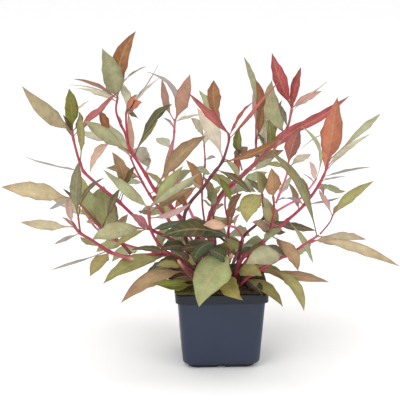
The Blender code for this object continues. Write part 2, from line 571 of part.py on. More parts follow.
def bake(thing):
    """Replace an object's mesh with the outcome of its modifiers."""
    bpy.context.view_layer.update()
    graph = bpy.context.evaluated_depsgraph_get()
    mesh = bpy.data.meshes.new_from_object(thing.evaluated_get(graph))
    thing.modifiers.clear()
    thing.data = mesh


def combine(thing, tool, operation):
    """Join a closed tool to a closed object, or take it away."""
    step = thing.modifiers.new("combine", "BOOLEAN")
    step.operation = operation
    step.solver = "EXACT"
    step.object = tool
    bake(thing)


def square_ring_spot(corner):
    """Move a corner of a round ring onto the rounded square of the same half width."""
    half = math.hypot(corner.co.x, corner.co.y)
    if half == 0.0:
        return
    number = round(math.atan2(corner.co.y, corner.co.x) / math.tau * 4 * CORNER_STEPS) % (4 * CORNER_STEPS)
    quarter, step = divmod(number, CORNER_STEPS)
    angle = (quarter + step / (CORNER_STEPS - 1)) * math.pi / 2
    height_share = corner.co.z / (POT_HEIGHT * MM)
    rounding = min(half, (BASE_CORNER + (RIM_CORNER - BASE_CORNER) * height_share) * MM)
    across = half - rounding if quarter in (0, 3) else rounding - half
    along = half - rounding if quarter in (0, 1) else rounding - half
    corner.co.x = across + rounding * math.cos(angle)
    corner.co.y = along + rounding * math.sin(angle)


def squared_turning(name, profile, collection):
    """Turn a profile of (half width, height) in mm, square its rings and yaw it."""
    bm = bmesh.new()
    corners = [bm.verts.new((half * MM, 0.0, height * MM)) for half, height in profile]
    for first, second in zip(corners, corners[1:]):
        bm.edges.new((first, second))
    thing = mesh_object(name, bm, collection)
    screw = thing.modifiers.new("turn", "SCREW")
    screw.axis = "Z"
    screw.angle = math.tau
    screw.steps = 4 * CORNER_STEPS
    screw.render_steps = 4 * CORNER_STEPS
    screw.use_merge_vertices = True
    screw.merge_threshold = MERGE
    bake(thing)
    bm = bmesh.new()
    bm.from_mesh(thing.data)
    bmesh.ops.remove_doubles(bm, verts=bm.verts, dist=MERGE)
    for corner in bm.verts:
        if math.hypot(corner.co.x, corner.co.y) < MERGE:
            corner.co.x = corner.co.y = 0.0
        square_ring_spot(corner)
    bmesh.ops.rotate(bm, verts=bm.verts, matrix=Matrix.Rotation(POT_YAW, 3, "Z"))
    bmesh.ops.recalc_face_normals(bm, faces=bm.faces)
    bm.to_mesh(thing.data)
    bm.free()
    return thing


def make_pot(collection, cutters):
    """The pot: a tapered squared shell with a rim band, stepping in to a notched foot."""
    rim = RIM_WIDTH / 2
    body_top = BODY_TOP_WIDTH / 2
    body_base = BODY_BASE_WIDTH / 2
    foot = FOOT_WIDTH / 2
    band_foot = POT_HEIGHT - RIM_BAND
    shoulder = band_foot - BAND_STEP
    profile = [
        (0.0, 0.0),
        (foot, 0.0),
        (foot, FOOT_HEIGHT),
        (body_base - BASE_INSET, FOOT_HEIGHT),
        (body_base - BASE_ROUND, BASE_ROUND_HEIGHT),
        (body_base, BODY_BASE_HEIGHT),
        (body_top, shoulder),
        (rim - RIM_EDGE, band_foot),
        (rim, band_foot + RIM_EDGE),
        (rim, POT_HEIGHT - RIM_EDGE),
        (rim - RIM_EDGE, POT_HEIGHT),
        (rim - RIM_WALL, POT_HEIGHT),
        (rim - RIM_WALL, band_foot + POT_WALL),
        (body_top - POT_WALL, shoulder),
        (body_base - POT_WALL, BODY_BASE_HEIGHT),
        (foot - FOOT_WALL, LEDGE),
        (foot - FOOT_WALL, FLOOR),
        (0.0, FLOOR),
    ]
    pot = squared_turning("pot", profile, collection)
    reach = (foot - FOOT_WALL / 2) * MM
    for turn in range(4):
        bm = bmesh.new()
        bmesh.ops.create_cube(bm, size=1.0)
        notch = mesh_object(f"notch_{turn + 1}", bm, cutters)
        notch.scale = (NOTCH_WIDTH * MM, NOTCH_DEPTH * MM, 2 * NOTCH_HEIGHT * MM)
        angle = turn * math.pi / 2 + POT_YAW
        notch.location = (math.sin(angle) * reach, -math.cos(angle) * reach, 0.0)
        notch.rotation_euler = (0.0, 0.0, angle)
        combine(pot, notch, "DIFFERENCE")
    coat(pot, POT_LOOK)
    return pot


def make_soil(name, gap, collection):
    """The soil: it fills the pot, stands above the rim and domes up; gap is in mm."""
    foot = FOOT_WIDTH / 2 - FOOT_WALL - gap
    body_base = BODY_BASE_WIDTH / 2 - POT_WALL - gap
    body_top = BODY_TOP_WIDTH / 2 - POT_WALL - gap
    inner_rim = RIM_WIDTH / 2 - RIM_WALL - gap
    shoulder = POT_HEIGHT - RIM_BAND - BAND_STEP
    over = SOIL_WIDTH / 2 - gap
    edge = POT_HEIGHT + SOIL_STAND
    profile = [
        (0.0, FLOOR + gap),
        (foot, FLOOR + gap),
        (foot, LEDGE + gap / 2),
        (body_base, BODY_BASE_HEIGHT + gap / 2),
        (body_top, shoulder + gap),
        (inner_rim, POT_HEIGHT - RIM_BAND + POT_WALL + gap),
        (inner_rim, POT_HEIGHT + gap),
        (over, POT_HEIGHT + gap),
    ]
    for ring in range(SOIL_RINGS + 1):
        share = 1.0 - ring / SOIL_RINGS
        profile.append((over * share, edge + SOIL_CROWN * (1.0 - share ** SOIL_DOME)))
    soil = squared_turning(name, profile, collection)
    first, second, cross = LUMP_WAVES
    for corner in soil.data.vertices:
        x, y, z = corner.co
        if z > (edge + MERGE) * MM and math.hypot(x, y) < over * MM * LUMP_REACH:
            corner.co.z += SOIL_LUMP * MM * math.sin(x * first) * math.cos(y * second + x * cross)
    bm = bmesh.new()
    bm.from_mesh(soil.data)
    bmesh.ops.triangulate(bm, faces=bm.faces, quad_method="FIXED")
    bm.to_mesh(soil.data)
    bm.free()
    return soil


def place(across, down, depth):
    """Turn a place on the front sheet into metres."""
    toward = depth * MM - EYE_TARGET.y
    rise = (SHEET_MIDDLE - down) / SHEET_FOCUS
    slide = (across - SHEET_MIDDLE) / SHEET_FOCUS
    reach = EYE_DISTANCE + toward * SHEET_UP.z
    height = (rise * reach - toward * SHEET_UP.y) / (SHEET_UP.z + rise * SHEET_UP.y)
    return EYE_TARGET + Vector((slide * (reach - height * SHEET_UP.y), toward, height))


def point_on_route(route, across, down):
    """The place on a stem's route that is nearest to a point of the sheet."""
    aim = Vector((across, down))
    best = None
    for first, second in zip(route, route[1:]):
        start = Vector(first[:2])
        run = Vector(second[:2]) - start
        end_share = 1.0 - TIP_REACH / run.length if second is route[-1] else 1.0
        share = min(max((aim - start).dot(run) / run.length_squared, 0.0), end_share)
        miss = (start + run * share - aim).length
        if best is None or miss < best[0]:
            here = [a + (b - a) * share for a, b in zip(first, second)]
            best = (miss, here)
    return place(*best[1])


def make_tube(name, stem, extra, collection):
    """A stem as a curve with a bevel, thinning from its base to its tip; extra is in mm."""
    curve = bpy.data.curves.new(name, "CURVE")
    curve.dimensions = "3D"
    curve.bevel_depth = MM
    curve.bevel_resolution = 0 if stem.base_radius < THIN_STEM else 1
    curve.use_fill_caps = True
    line = curve.splines.new("POLY")
    line.points.add(len(stem.route) - 1)
    last = len(stem.route) - 1
    for index, spot in enumerate(stem.route):
        line.points[index].co = (*place(*spot), 1.0)
        taper = stem.base_radius + (stem.tip_radius - stem.base_radius) * index / last
        line.points[index].radius = taper + extra
    thing = bpy.data.objects.new(name, curve)
    collection.objects.link(thing)
    bpy.context.view_layer.update()
    graph = bpy.context.evaluated_depsgraph_get()
    mesh = bpy.data.meshes.new_from_object(thing.evaluated_get(graph))
    bpy.data.objects.remove(thing)
    bm = bmesh.new()
    bm.from_mesh(mesh)
    bmesh.ops.remove_doubles(bm, verts=bm.verts, dist=MERGE)
    bmesh.ops.recalc_face_normals(bm, faces=bm.faces)
    return mesh_object(name, bm, collection)


def leaf_bmesh(base, tip, leaf, extra):
    """A leaf as a three-sided sphere drawn out along a bowed line; extra is in mm."""
    broad = leaf.width >= BROAD_LEAF
    stations = BROAD_STATIONS if broad else SLIM_STATIONS
    shares = BROAD_SHARES if broad else SLIM_SHARES
    chord = tip - base
    spread = chord.cross(SHEET_AWAY)
    end_on = spread.length < END_ON * chord.length
    if end_on:
        spread = chord.cross(SHEET_UP)
    spread.normalize()
    sense = 1.0 if spread.z >= 0.0 else -1.0
    lift = spread.cross(chord).normalized() if end_on else spread * sense
    middle = (base + tip) / 2 + lift * leaf.bow * chord.length
    slide = math.log(leaf.belly) / math.log(MID_BELLY)
    rings = len(stations) + 1
    bm = bmesh.new()
    bmesh.ops.create_uvsphere(bm, u_segments=3, v_segments=rings, radius=1.0)
    for corner in bm.verts:
        ring = round(math.acos(max(-1.0, min(1.0, -corner.co.z))) / math.pi * rings)
        if ring == 0:
            corner.co = base - chord.normalized() * HOLD * MM
            continue
        if ring == rings:
            corner.co = tip + chord.normalized() * extra * MM
            continue
        along = stations[ring - 1] ** slide
        spot = base * (1 - along) ** 2 + middle * 2 * along * (1 - along) + tip * along ** 2
        heading = (middle - base) * (1 - along) + (tip - middle) * along
        heading.normalize()
        flat = (spread - heading * spread.dot(heading)).normalized()
        deep = flat.cross(heading) * sense
        side = flat * leaf.facing + deep * math.sqrt(1.0 - leaf.facing ** 2)
        face = heading.cross(side)
        half = shares[ring - 1] * leaf.width / 2
        corner_number = round(math.atan2(corner.co.y, corner.co.x) / (math.tau / 3)) % 3
        if corner_number == KEEL:
            corner.co = spot - face * (MIDRIB + extra) * MM
        else:
            sign = 1.0 if corner_number == 0 else -1.0
            rise = FOLD * half + extra
            corner.co = spot + (side * sign * (half + extra * SIDE_CLEARANCE) + face * rise) * MM
    return bm


class Shape:
    """The surface of one placed piece, for telling whether a leaf hangs clear of it."""

    def __init__(self, owner, label, bm):
        self.owner = owner
        self.label = label
        self.tree = BVHTree.FromBMesh(bm)
        places = [corner.co for corner in bm.verts]
        self.low = Vector([min(spot[axis] for spot in places) for axis in range(3)])
        self.high = Vector([max(spot[axis] for spot in places) for axis in range(3)])

    def touches(self, other):
        """Whether two surfaces cross."""
        for axis in range(3):
            if self.low[axis] > other.high[axis] or other.low[axis] > self.high[axis]:
                return False
        return bool(self.tree.overlap(other.tree))


def object_shape(owner, label, thing):
    """The surface of an object."""
    bm = bmesh.new()
    bm.from_mesh(thing.data)
    shape = Shape(owner, label, bm)
    bm.free()
    return shape


def hang_leaf(stem, leaf, placed):
    """Find the leaf's tip: it swings back and forth until it hangs clear of other pieces."""
    base = point_on_route(stem.route, leaf.base_across, leaf.base_down)
    for swing in SWINGS:
        tip = place(leaf.tip_across, leaf.tip_down, leaf.tip_depth + swing)
        bm = leaf_bmesh(base, tip, leaf, CLEARANCE)
        trial = Shape(stem.name, "", bm)
        bm.free()
        hits = [shape.label for shape in placed
                if shape.owner != stem.name and trial.touches(shape)]
        if not hits:
            return base, tip
    return None


def make_plant(collection, cutters, pot, soil):
    """Every stem with its leaves, each cut free of the soil or of the stem that carries it."""
    soil_tool = make_soil("soil_tool", -JOIN_GAP, cutters)
    for corner in soil_tool.data.vertices:
        corner.co.z += JOIN_GAP * MM
    tubes = {stem.name: make_tube(stem.name, stem, 0.0, collection) for stem in PLANT}
    placed = [object_shape("pot", "pot", pot), object_shape("soil", "soil", soil)]
    placed += [object_shape(name, name, tube) for name, tube in tubes.items()]
    for stem in PLANT:
        tube = tubes[stem.name]
        if stem.parent is None:
            combine(tube, soil_tool, "DIFFERENCE")
        else:
            carrier = next(other for other in PLANT if other.name == stem.parent)
            tool = make_tube("carrier_tool", carrier, JOIN_GAP, cutters)
            combine(tube, tool, "DIFFERENCE")
            bpy.data.objects.remove(tool)
        for number, leaf in enumerate(stem.leaves, 1):
            spots = hang_leaf(stem, leaf, placed)
            if spots is None:
                continue
            bm = leaf_bmesh(*spots, leaf, 0.0)
            placed.append(Shape(stem.name, f"{stem.name} leaf {number}", bm))
            blade = mesh_object("blade", bm, cutters)
            combine(tube, blade, "UNION")
            bpy.data.objects.remove(blade)
        coat(tube, LEAFY_LOOK)


def main():
    """Build the whole part."""
    clear_scene()
    collection = new_collection("alternanthera")
    cutters = new_collection("cutters")
    pot = make_pot(collection, cutters)
    soil = make_soil("soil", SOIL_GAP, collection)
    coat(soil, SOIL_LOOK)
    make_plant(collection, cutters, pot, soil)
    for tool in cutters.objects:
        tool.hide_render = True
        tool.display_type = "WIRE"


main()
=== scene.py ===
"""Looks for a potted alternanthera: a square nursery pot, its soil and a bush of leafy stems.

Every piece is laid out on the same front sheet as the CAD part.  A place on the sheet is written
(across, down, depth), with depth in mm behind (+) or before (-) the axis of the pot.
"""
import json
import logging
import math
import random
from dataclasses import dataclass, field
from enum import Enum

import bpy
import numpy as np
from mathutils import Matrix, Vector, noise
from mathutils.kdtree import KDTree

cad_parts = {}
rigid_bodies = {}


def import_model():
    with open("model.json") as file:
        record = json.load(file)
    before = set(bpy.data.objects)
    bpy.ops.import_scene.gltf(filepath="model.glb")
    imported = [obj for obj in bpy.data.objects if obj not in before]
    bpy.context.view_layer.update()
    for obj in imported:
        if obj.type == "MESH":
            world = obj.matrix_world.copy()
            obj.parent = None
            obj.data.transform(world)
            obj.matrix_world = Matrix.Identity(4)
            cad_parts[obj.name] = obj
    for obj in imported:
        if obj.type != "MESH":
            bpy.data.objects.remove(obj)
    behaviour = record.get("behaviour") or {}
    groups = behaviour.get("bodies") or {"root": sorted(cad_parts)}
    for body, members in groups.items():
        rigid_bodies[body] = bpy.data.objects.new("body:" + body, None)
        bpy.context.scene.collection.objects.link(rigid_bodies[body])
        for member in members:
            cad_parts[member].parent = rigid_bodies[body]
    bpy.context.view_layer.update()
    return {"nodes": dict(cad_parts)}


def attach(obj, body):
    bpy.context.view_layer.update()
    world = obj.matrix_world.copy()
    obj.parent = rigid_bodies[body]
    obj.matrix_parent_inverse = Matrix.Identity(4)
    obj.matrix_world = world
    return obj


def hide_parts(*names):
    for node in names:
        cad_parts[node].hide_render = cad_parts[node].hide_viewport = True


MM = 0.001
MERGE = 0.00001
SOIL_SEED = 7
PLANT_SEED = 100
LOG = logging.getLogger("alternanthera")
Color = tuple[int, int, int]
Spot = tuple[float, float, float]


def linear(color: Color) -> tuple[float, float, float, float]:
    """Turn an sRGB color of 0 to 255 into linear values with full alpha.

    Args:
        color: red, green and blue of 0 to 255.

    Returns:
        The linear red, green, blue and an alpha of 1.
    """
    shares = [part / 255.0 for part in color]
    red, green, blue = [((part + 0.055) / 1.055) ** 2.4 if part > 0.04 else part / 12.92 for part in shares]
    return red, green, blue, 1.0


@dataclass(frozen=True)
class LeafTone:
    """The colors of one kind of leaf; the last field is the painted shade on one half of the blade, as a
    factor.
    """

    blade: Color
    foot: Color
    point: Color
    edge: Color
    # painted shade: how dark the shaded half of each blade is painted
    shaded_half: float = 0.94


class Tone(Enum):
    """The kinds of leaf on the plant; the darkest green tones are darkened further as painted shade for
    leaves deep in the bush.
    """

    TAN = LeafTone((185, 173, 137), (185, 127, 115), (162, 139, 108), (164, 129, 101))
    GREY = LeafTone((164, 156, 150), (164, 139, 137), (152, 144, 137), (152, 141, 132))
    MAUVE = LeafTone((189, 156, 148), (189, 129, 132), (164, 133, 119), (171, 131, 119))
    OLIVE = LeafTone((152, 148, 88), (148, 110, 77), (131, 123, 73), (137, 116, 75))
    ROSE = LeafTone((177, 108, 119), (166, 79, 97), (162, 102, 108), (166, 100, 108))
    PINK = LeafTone((196, 131, 128), (191, 100, 115), (164, 108, 97), (177, 110, 108))
    RUST = LeafTone((154, 102, 62), (158, 83, 68), (129, 77, 49), (135, 77, 53), 0.85)
    AMBER = LeafTone((187, 135, 90), (183, 110, 88), (158, 110, 71), (162, 102, 71), 0.88)
    BROWN = LeafTone((160, 131, 97), (162, 100, 84), (137, 106, 77), (139, 102, 77), 0.88)
    STONE = LeafTone((132, 130, 91), (124, 93, 72), (114, 109, 76), (116, 103, 72), 0.8)
    # painted shade: this dark tone, darkened further, stands partly for the shade on leaves deep in the bush
    DARK = LeafTone((94, 84, 47), (102, 62, 45), (79, 69, 39), (81, 64, 39), 0.85)
    GREEN = LeafTone((148, 156, 101), (141, 114, 77), (127, 133, 82), (137, 125, 79), 0.9)
    SAGE = LeafTone((166, 171, 130), (158, 123, 99), (150, 146, 108), (154, 139, 104), 0.9)
    PALE = LeafTone((193, 189, 163), (189, 152, 137), (179, 168, 139), (183, 166, 139))
    RED = LeafTone((186, 83, 83), (208, 95, 108), (140, 63, 66), (156, 63, 64), 0.8)
    SALMON = LeafTone((196, 150, 128), (191, 112, 110), (166, 116, 93), (177, 119, 99))
    BRIGHT = LeafTone((130, 138, 56), (122, 105, 52), (109, 114, 47), (116, 113, 48), 0.86)
    YELLOW = LeafTone((160, 156, 74), (150, 140, 70), (150, 146, 82), (148, 134, 62), 0.84)
    LIGHT = LeafTone((162, 173, 117), (156, 156, 97), (152, 160, 101), (146, 148, 93), 0.84)
    # painted shade: these dark tones are darkened further to stand partly for the shade on leaves deep in the
    # bush
    MOSS = LeafTone((82, 96, 59), (87, 77, 45), (72, 82, 49), (74, 77, 45), 0.84)
    DEEP = LeafTone((62, 74, 37), (72, 62, 31), (67, 77, 37), (56, 62, 30), 0.8)
    SHADE = LeafTone((59, 49, 29), (55, 35, 24), (49, 42, 24), (49, 37, 22), 0.8)
    PEACH = LeafTone((214, 175, 154), (208, 129, 130), (187, 144, 119), (196, 144, 121))
    ORANGE = LeafTone((201, 118, 86), (206, 109, 106), (162, 87, 69), (180, 93, 75), 0.86)
    MAROON = LeafTone((159, 86, 74), (175, 91, 100), (123, 63, 64), (131, 63, 62), 0.76)


@dataclass(frozen=True)
class StemTone:
    """The colors of one kind of stem, from the soil up."""

    foot: Color
    middle: Color
    top: Color


class SkinTone(Enum):
    """The kinds of stem skin."""

    DARK_RED = StemTone((104, 50, 44), (160, 66, 72), (166, 88, 78))
    RED_BROWN = StemTone((104, 52, 44), (142, 64, 58), (158, 94, 78))
    CRIMSON = StemTone((112, 36, 40), (170, 54, 76), (168, 84, 88))
    PINK = StemTone((112, 46, 46), (166, 76, 84), (178, 106, 102))
    HOT_PINK = StemTone((150, 66, 84), (206, 104, 130), (196, 118, 122))
    PLUM = StemTone((92, 40, 38), (112, 50, 60), (150, 70, 70))
    STUB = StemTone((70, 34, 28), (110, 52, 44), (196, 150, 122))
    CUT = StemTone((170, 74, 82), (176, 84, 90), (206, 160, 138))


@dataclass(frozen=True)
class Leaf:
    """Where a leaf starts and ends on the front sheet, how wide it is in mm and how it turns."""

    base_across: float
    base_down: float
    tip_across: float
    tip_down: float
    tip_depth: float
    width: float
    facing: float
    bow: float
    tone: Tone
    belly: float = 0.43


@dataclass(frozen=True)
class Stem:
    """A stem's way over the front sheet, its radii in mm and its leaves."""

    name: str
    parent: str | None
    skin: SkinTone
    base_radius: float
    tip_radius: float
    route: list[Spot]
    leaves: list[Leaf] = field(default_factory=list)


# The plant, stem by stem: each stem or side shoot with its route and the leaves that grow on it
PLANT = [
    Stem("stem_left_low", None, SkinTone.DARK_RED, 2.3, 1.2,
        [(206, 290, -10), (190, 266, -20), (165, 254, -32), (133, 257, -42), (112, 253, -48),
         (93, 241, -52), (80, 233, -55), (75, 227, -57), (72, 221, -58)], [
            Leaf(74, 229, 20, 222, -75, 12, 0.75, -0.05, Tone.TAN, 0.53),
            Leaf(78, 233, 54, 244.5, -28, 4.5, 0.8, 0, Tone.GREY, 0.52),
            Leaf(105, 254, 51, 270, -66, 3.5, 0.8, -0.02, Tone.GREY, 0.62),
            Leaf(107, 254, 90, 276.5, -88, 14.5, 0.85, 0.06, Tone.OLIVE),
            Leaf(100, 249, 80, 237, -18, 8, 0.7, -0.07, Tone.OLIVE, 0.51),
            Leaf(73, 226, 70, 195, -36, 8, 0.8, -0.18, Tone.MAUVE, 0.49),
            Leaf(74, 227, 62, 217, -68, 4, 0.7, 0.05, Tone.MAUVE),
            Leaf(167, 253, 131, 250, -2, 8, 0.7, 0.15, Tone.DARK),
            Leaf(172, 255, 103, 284, -74, 17, 0.85, 0.18, Tone.OLIVE, 0.54),
            Leaf(188, 265, 170, 250, -2, 15, 0.8, 0.1, Tone.DARK),
        ]),
    Stem("shoot_left_low", "stem_left_low", SkinTone.DARK_RED, 1.1, 0.9,
        [(80, 231, -56), (79, 223, -61), (78, 216, -64)], [
            Leaf(78, 217, 79, 161, -88, 12, 0.95, 0.08, Tone.STONE, 0.52),
            Leaf(79, 214, 104, 178, -34, 10, 0.55, 0.27, Tone.DARK, 0.66),
        ]),
    Stem("stem_left_mid", "stem_left_low", SkinTone.RED_BROWN, 1.9, 1.1,
        [(131, 254, -41), (121, 243, -38), (110, 235, -36), (100, 227, -34), (90, 215, -32), (80, 204, -30),
         (71, 197, -30)], [
            Leaf(72, 197, 1, 187, -52, 18, 0.9, 0.03, Tone.TAN, 0.52),
            Leaf(72, 198, 49, 209.5, 12, 6, 0.7, 0.03, Tone.GREY, 0.55),
            Leaf(73, 197, 63, 189, -44, 4, 0.6, 0.05, Tone.DARK),
            Leaf(102, 228, 85, 188, 4, 22, 0.9, -0.04, Tone.GREEN, 0.51),
            Leaf(109, 234, 104, 186, -4, 23, 0.9, -0.02, Tone.GREEN),
            Leaf(106, 225, 120, 189, -58, 10, 0.7, 0.03, Tone.DARK, 0.67),
            Leaf(97, 222, 86, 222, 0, 5, 0.5, 0.05, Tone.RUST),
        ]),
    Stem("stub_left_low", "stem_left_low", SkinTone.CUT, 2.2, 2.1,
        [(112, 253, -48), (124, 257, -54), (134, 259, -58)]),
    Stem("stem_front_left", None, SkinTone.DARK_RED, 1.9, 1.2,
        [(211, 292, -20), (192, 272, -32), (171, 256, -44), (158, 243, -52), (151, 230, -58),
         (149, 216, -60), (149, 206, -61)], [
            Leaf(149, 208, 103, 169.5, -72, 11.5, 0.9, 0, Tone.SAGE),
            Leaf(150, 207, 183, 166, -44, 12, 0.8, 0.01, Tone.GREEN, 0.56),
            Leaf(150, 209, 201, 172, -74, 9, 0.8, 0, Tone.SAGE),
            Leaf(150, 212, 193, 187, -50, 12, 0.7, 0.03, Tone.BROWN, 0.53),
            Leaf(150, 217, 191, 203, -88, 8, 0.75, -0.14, Tone.MAUVE, 0.5),
            Leaf(150, 230, 131, 214, -76, 10, 0.85, 0.02, Tone.ROSE, 0.51),
            Leaf(150, 229, 92, 239.5, -96, 17, 0.85, 0.14, Tone.SAGE, 0.6),
            Leaf(149, 228, 113, 247, -40, 10, 0.65, 0.07, Tone.OLIVE, 0.55),
            Leaf(151, 229, 190, 221, -36, 10, 0.6, 0.02, Tone.MOSS),
            Leaf(149, 217, 138, 211, -34, 8, 0.6, 0.1, Tone.DARK),
            Leaf(188, 265, 158, 262, -66, 12, 0.85, 0.12, Tone.DARK, 0.53),
            Leaf(198, 278, 168, 280, -24, 15, 0.8, 0.12, Tone.DARK),
        ]),
    Stem("stem_left_high", None, SkinTone.CRIMSON, 2.0, 1.1,
        [(213, 287, -4), (200, 262, -8), (172, 240, -14), (152, 230, -19), (135, 217, -22), (118, 201, -20),
         (97, 184, -12), (84, 172, -6), (81, 165, -3), (78, 157, -2), (75, 146, 1), (73, 137, 3),
         (72, 128, 4)], [
            Leaf(73, 130, 22, 86, -14, 15.5, 0.95, -0.11, Tone.TAN),
            Leaf(73, 129, 69, 88.5, -24, 14, 0.9, 0.03, Tone.BRIGHT, 0.53),
            Leaf(73, 129, 89, 101, 42, 8, 0.6, 0.28, Tone.PALE, 0.51),
            Leaf(80, 163, 80, 112, -24, 9, 0.9, -0.05, Tone.OLIVE, 0.59),
            Leaf(73, 139, 66, 118, 26, 6, 0.7, -0.1, Tone.BROWN, 0.54),
            Leaf(74, 137, 119, 90.5, -18, 15.5, 0.45, 0, Tone.RED),
            Leaf(74, 131, 79, 112, 14, 9, 0.7, -0.43, Tone.DARK, 0.5),
            Leaf(73, 130, 63, 115, 0, 6, 0.7, 0.05, Tone.DARK),
            Leaf(83, 171, 26, 157, 40, 12, 0.1, -0.05, Tone.GREY),
            Leaf(120, 201, 112, 152, -40, 12, 0.9, 0.23, Tone.BROWN, 0.61),
            Leaf(118, 200, 135, 166, -42, 9, 0.55, 0.02, Tone.DARK, 0.67),
            Leaf(201, 264, 178, 262, 18, 15, 0.8, 0.12, Tone.OLIVE),
        ]),
    Stem("stem_top_left", None, SkinTone.CRIMSON, 2.5, 1.0,
        [(215, 285, 2), (205, 250, 4), (190, 228, 2), (172, 208, 0), (155, 190, 0), (146, 175, 2),
         (136, 159, 5), (129, 147, 8), (125, 133, 10), (120, 123, 12), (116, 110, 14), (118, 96, 15)], [
            Leaf(118, 97, 136, 31, 2, 17, 0.95, 0.18, Tone.RUST, 0.5),
            Leaf(118, 98, 102, 48, -24, 20, 0.98, 0.04, Tone.SAGE),
            Leaf(117, 100, 74, 79, -2, 11, 0.35, 0.12, Tone.RUST),
            Leaf(117, 101, 76, 88, 62, 12, 0.45, 0.06, Tone.PALE),
            Leaf(118, 98, 146, 66.5, 50, 10, 0.12, 0.24, Tone.GREY),
            Leaf(121, 125, 118, 115, 22, 4, 0.8, 0.02, Tone.PINK),
            Leaf(134, 155, 172, 104, -14, 13, 0.6, 0.17, Tone.MOSS, 0.65),
            Leaf(130, 148, 149, 169, 54, 15, 0.9, 0.17, Tone.PALE),
            Leaf(133, 157, 84, 121, -22, 14, 0.9, 0.03, Tone.SAGE, 0.6),
            Leaf(156, 190, 206, 135.5, -26, 16, 0.9, 0.12, Tone.BROWN, 0.6),
            Leaf(173, 209, 197, 186, 22, 11, 0.7, 0.06, Tone.RUST),
            Leaf(146, 175, 150, 158, 48, 8, 0.55, 0.06, Tone.PALE),
            Leaf(206, 256, 182, 242, 30, 15, 0.8, 0.1, Tone.GREEN),
            Leaf(117, 98, 69, 85, 30, 8, 0.2, 0.12, Tone.PALE),
        ]),
    Stem("shoot_top_left", "stem_top_left", SkinTone.CRIMSON, 1.3, 0.9,
        [(128, 143, 7), (127, 133, 3), (126, 121, 1), (126, 111, 0)], [
            Leaf(126, 111, 142, 102, -38, 12, 0.85, 0.06, Tone.ORANGE),
            Leaf(126, 113, 121, 82, 36, 11, 0.8, 0.12, Tone.PALE, 0.59),
            Leaf(126, 112, 158, 65, 6, 11, 0.14, -0.06, Tone.GREY),
            Leaf(126, 113, 159, 78, 50, 12, 0.35, 0.05, Tone.PALE),
            Leaf(126, 114, 138, 119, -36, 9, 0.6, 0.2, Tone.DARK),
            Leaf(127, 110, 137, 94, -30, 8, 0.8, 0.06, Tone.ORANGE),
        ]),
    Stem("shoot_left_back", "stem_top_left", SkinTone.PINK, 1.1, 0.8,
        [(130, 151, 14), (121, 147, 24), (109, 141, 32)], [
            Leaf(110, 142, 99, 111, 16, 10, 0.8, 0.09, Tone.RUST, 0.66),
            Leaf(109, 141, 90, 173, 46, 10.5, 0.85, 0.21, Tone.PEACH),
            Leaf(110, 142, 80, 131, 62, 12, 0.7, -0.03, Tone.PALE, 0.49),
        ]),
    Stem("stem_back_mid", None, SkinTone.HOT_PINK, 1.8, 1.1,
        [(219, 282, 14), (208, 250, 28), (192, 215, 48), (178, 185, 66), (172, 160, 78), (174, 135, 88),
         (175, 119, 92)], [
            Leaf(175, 120, 190, 74, 68, 15.5, 0.95, -0.03, Tone.SALMON, 0.5),
            Leaf(174, 120, 162, 79, 78, 10, 0.8, -0.14, Tone.SALMON, 0.57),
            Leaf(175, 120, 147, 72, 112, 11, 0.5, 0.48, Tone.GREY),
            Leaf(174, 132, 163, 118, 60, 5, 0.5, 0.15, Tone.MAUVE),
            Leaf(175, 122, 203, 115, 120, 9, 0.35, 0.05, Tone.PALE),
            Leaf(172, 151, 156, 138, 122, 12, 0.9, 0.12, Tone.PALE, 0.61),
            Leaf(180, 190, 205, 177, 104, 12, 0.6, 0.08, Tone.GREEN),
            Leaf(196, 222, 206, 232, 84, 10, 0.6, 0.1, Tone.DARK),
        ]),
    Stem("stem_center", None, SkinTone.PLUM, 2.2, 1.0,
        [(211, 288, -12), (197, 262, -26), (186, 240, -32), (184, 218, -33), (190, 203, -33),
         (201, 190, -32), (213, 174, -32), (222, 162, -34), (227, 148, -38), (229, 139, -40),
         (228, 132, -41)], [
            Leaf(228, 134, 188, 92, -62, 13, 0.6, -0.02, Tone.RED),
            Leaf(228, 133, 199, 90, -12, 12, 0.7, 0, Tone.SAGE, 0.6),
            Leaf(228, 133, 214, 80, -34, 14.5, 0.9, -0.22, Tone.RUST, 0.7),
            Leaf(222, 160, 197, 108, 12, 15, 0.95, 0.08, Tone.PALE, 0.53),
            Leaf(229, 137, 253, 102, -72, 9, 0.4, 0.08, Tone.RED),
            Leaf(229, 138, 282, 79, -52, 9, 0.38, 0, Tone.RED),
            Leaf(212, 176, 197, 170, -62, 9, 0.7, 0.09, Tone.SAGE, 0.56),
            Leaf(222, 163, 281, 137, -52, 9, 0.75, -0.12, Tone.RUST, 0.49),
            Leaf(202, 189, 186, 160, -50, 12, 0.8, 0.06, Tone.AMBER),
            Leaf(216, 171, 251, 193, -66, 10, 0.6, 0.1, Tone.DARK),
            Leaf(215, 172, 231, 202, -52, 8, 0.8, 0.09, Tone.BRIGHT, 0.58),
            Leaf(188, 207, 174, 196, -62, 10, 0.7, 0.1, Tone.RUST),
            Leaf(190, 250, 160, 250, -70, 15, 0.7, 0.14, Tone.DEEP),
            Leaf(186, 236, 204, 222, -60, 13, 0.8, 0.1, Tone.MOSS),
        ]),
    Stem("stem_right_top", None, SkinTone.PINK, 2.4, 1.0,
        [(223, 285, 2), (212, 250, 4), (208, 222, 5), (222, 193, 8), (240, 177, 11), (256, 162, 14),
         (268, 150, 18), (281, 138, 22), (288, 126, 25), (291, 113, 27), (292, 106, 28)], [
            Leaf(291, 109, 272, 53, 8, 14.5, 0.95, -0.06, Tone.RED, 0.5),
            Leaf(292, 107, 301, 67, -2, 12, 0.65, 0.03, Tone.RED),
            Leaf(292, 108, 322, 91, 60, 10, 0.7, 0.05, Tone.SALMON),
            Leaf(291, 113, 327, 82, -12, 9, 0.14, 0.03, Tone.MAUVE),
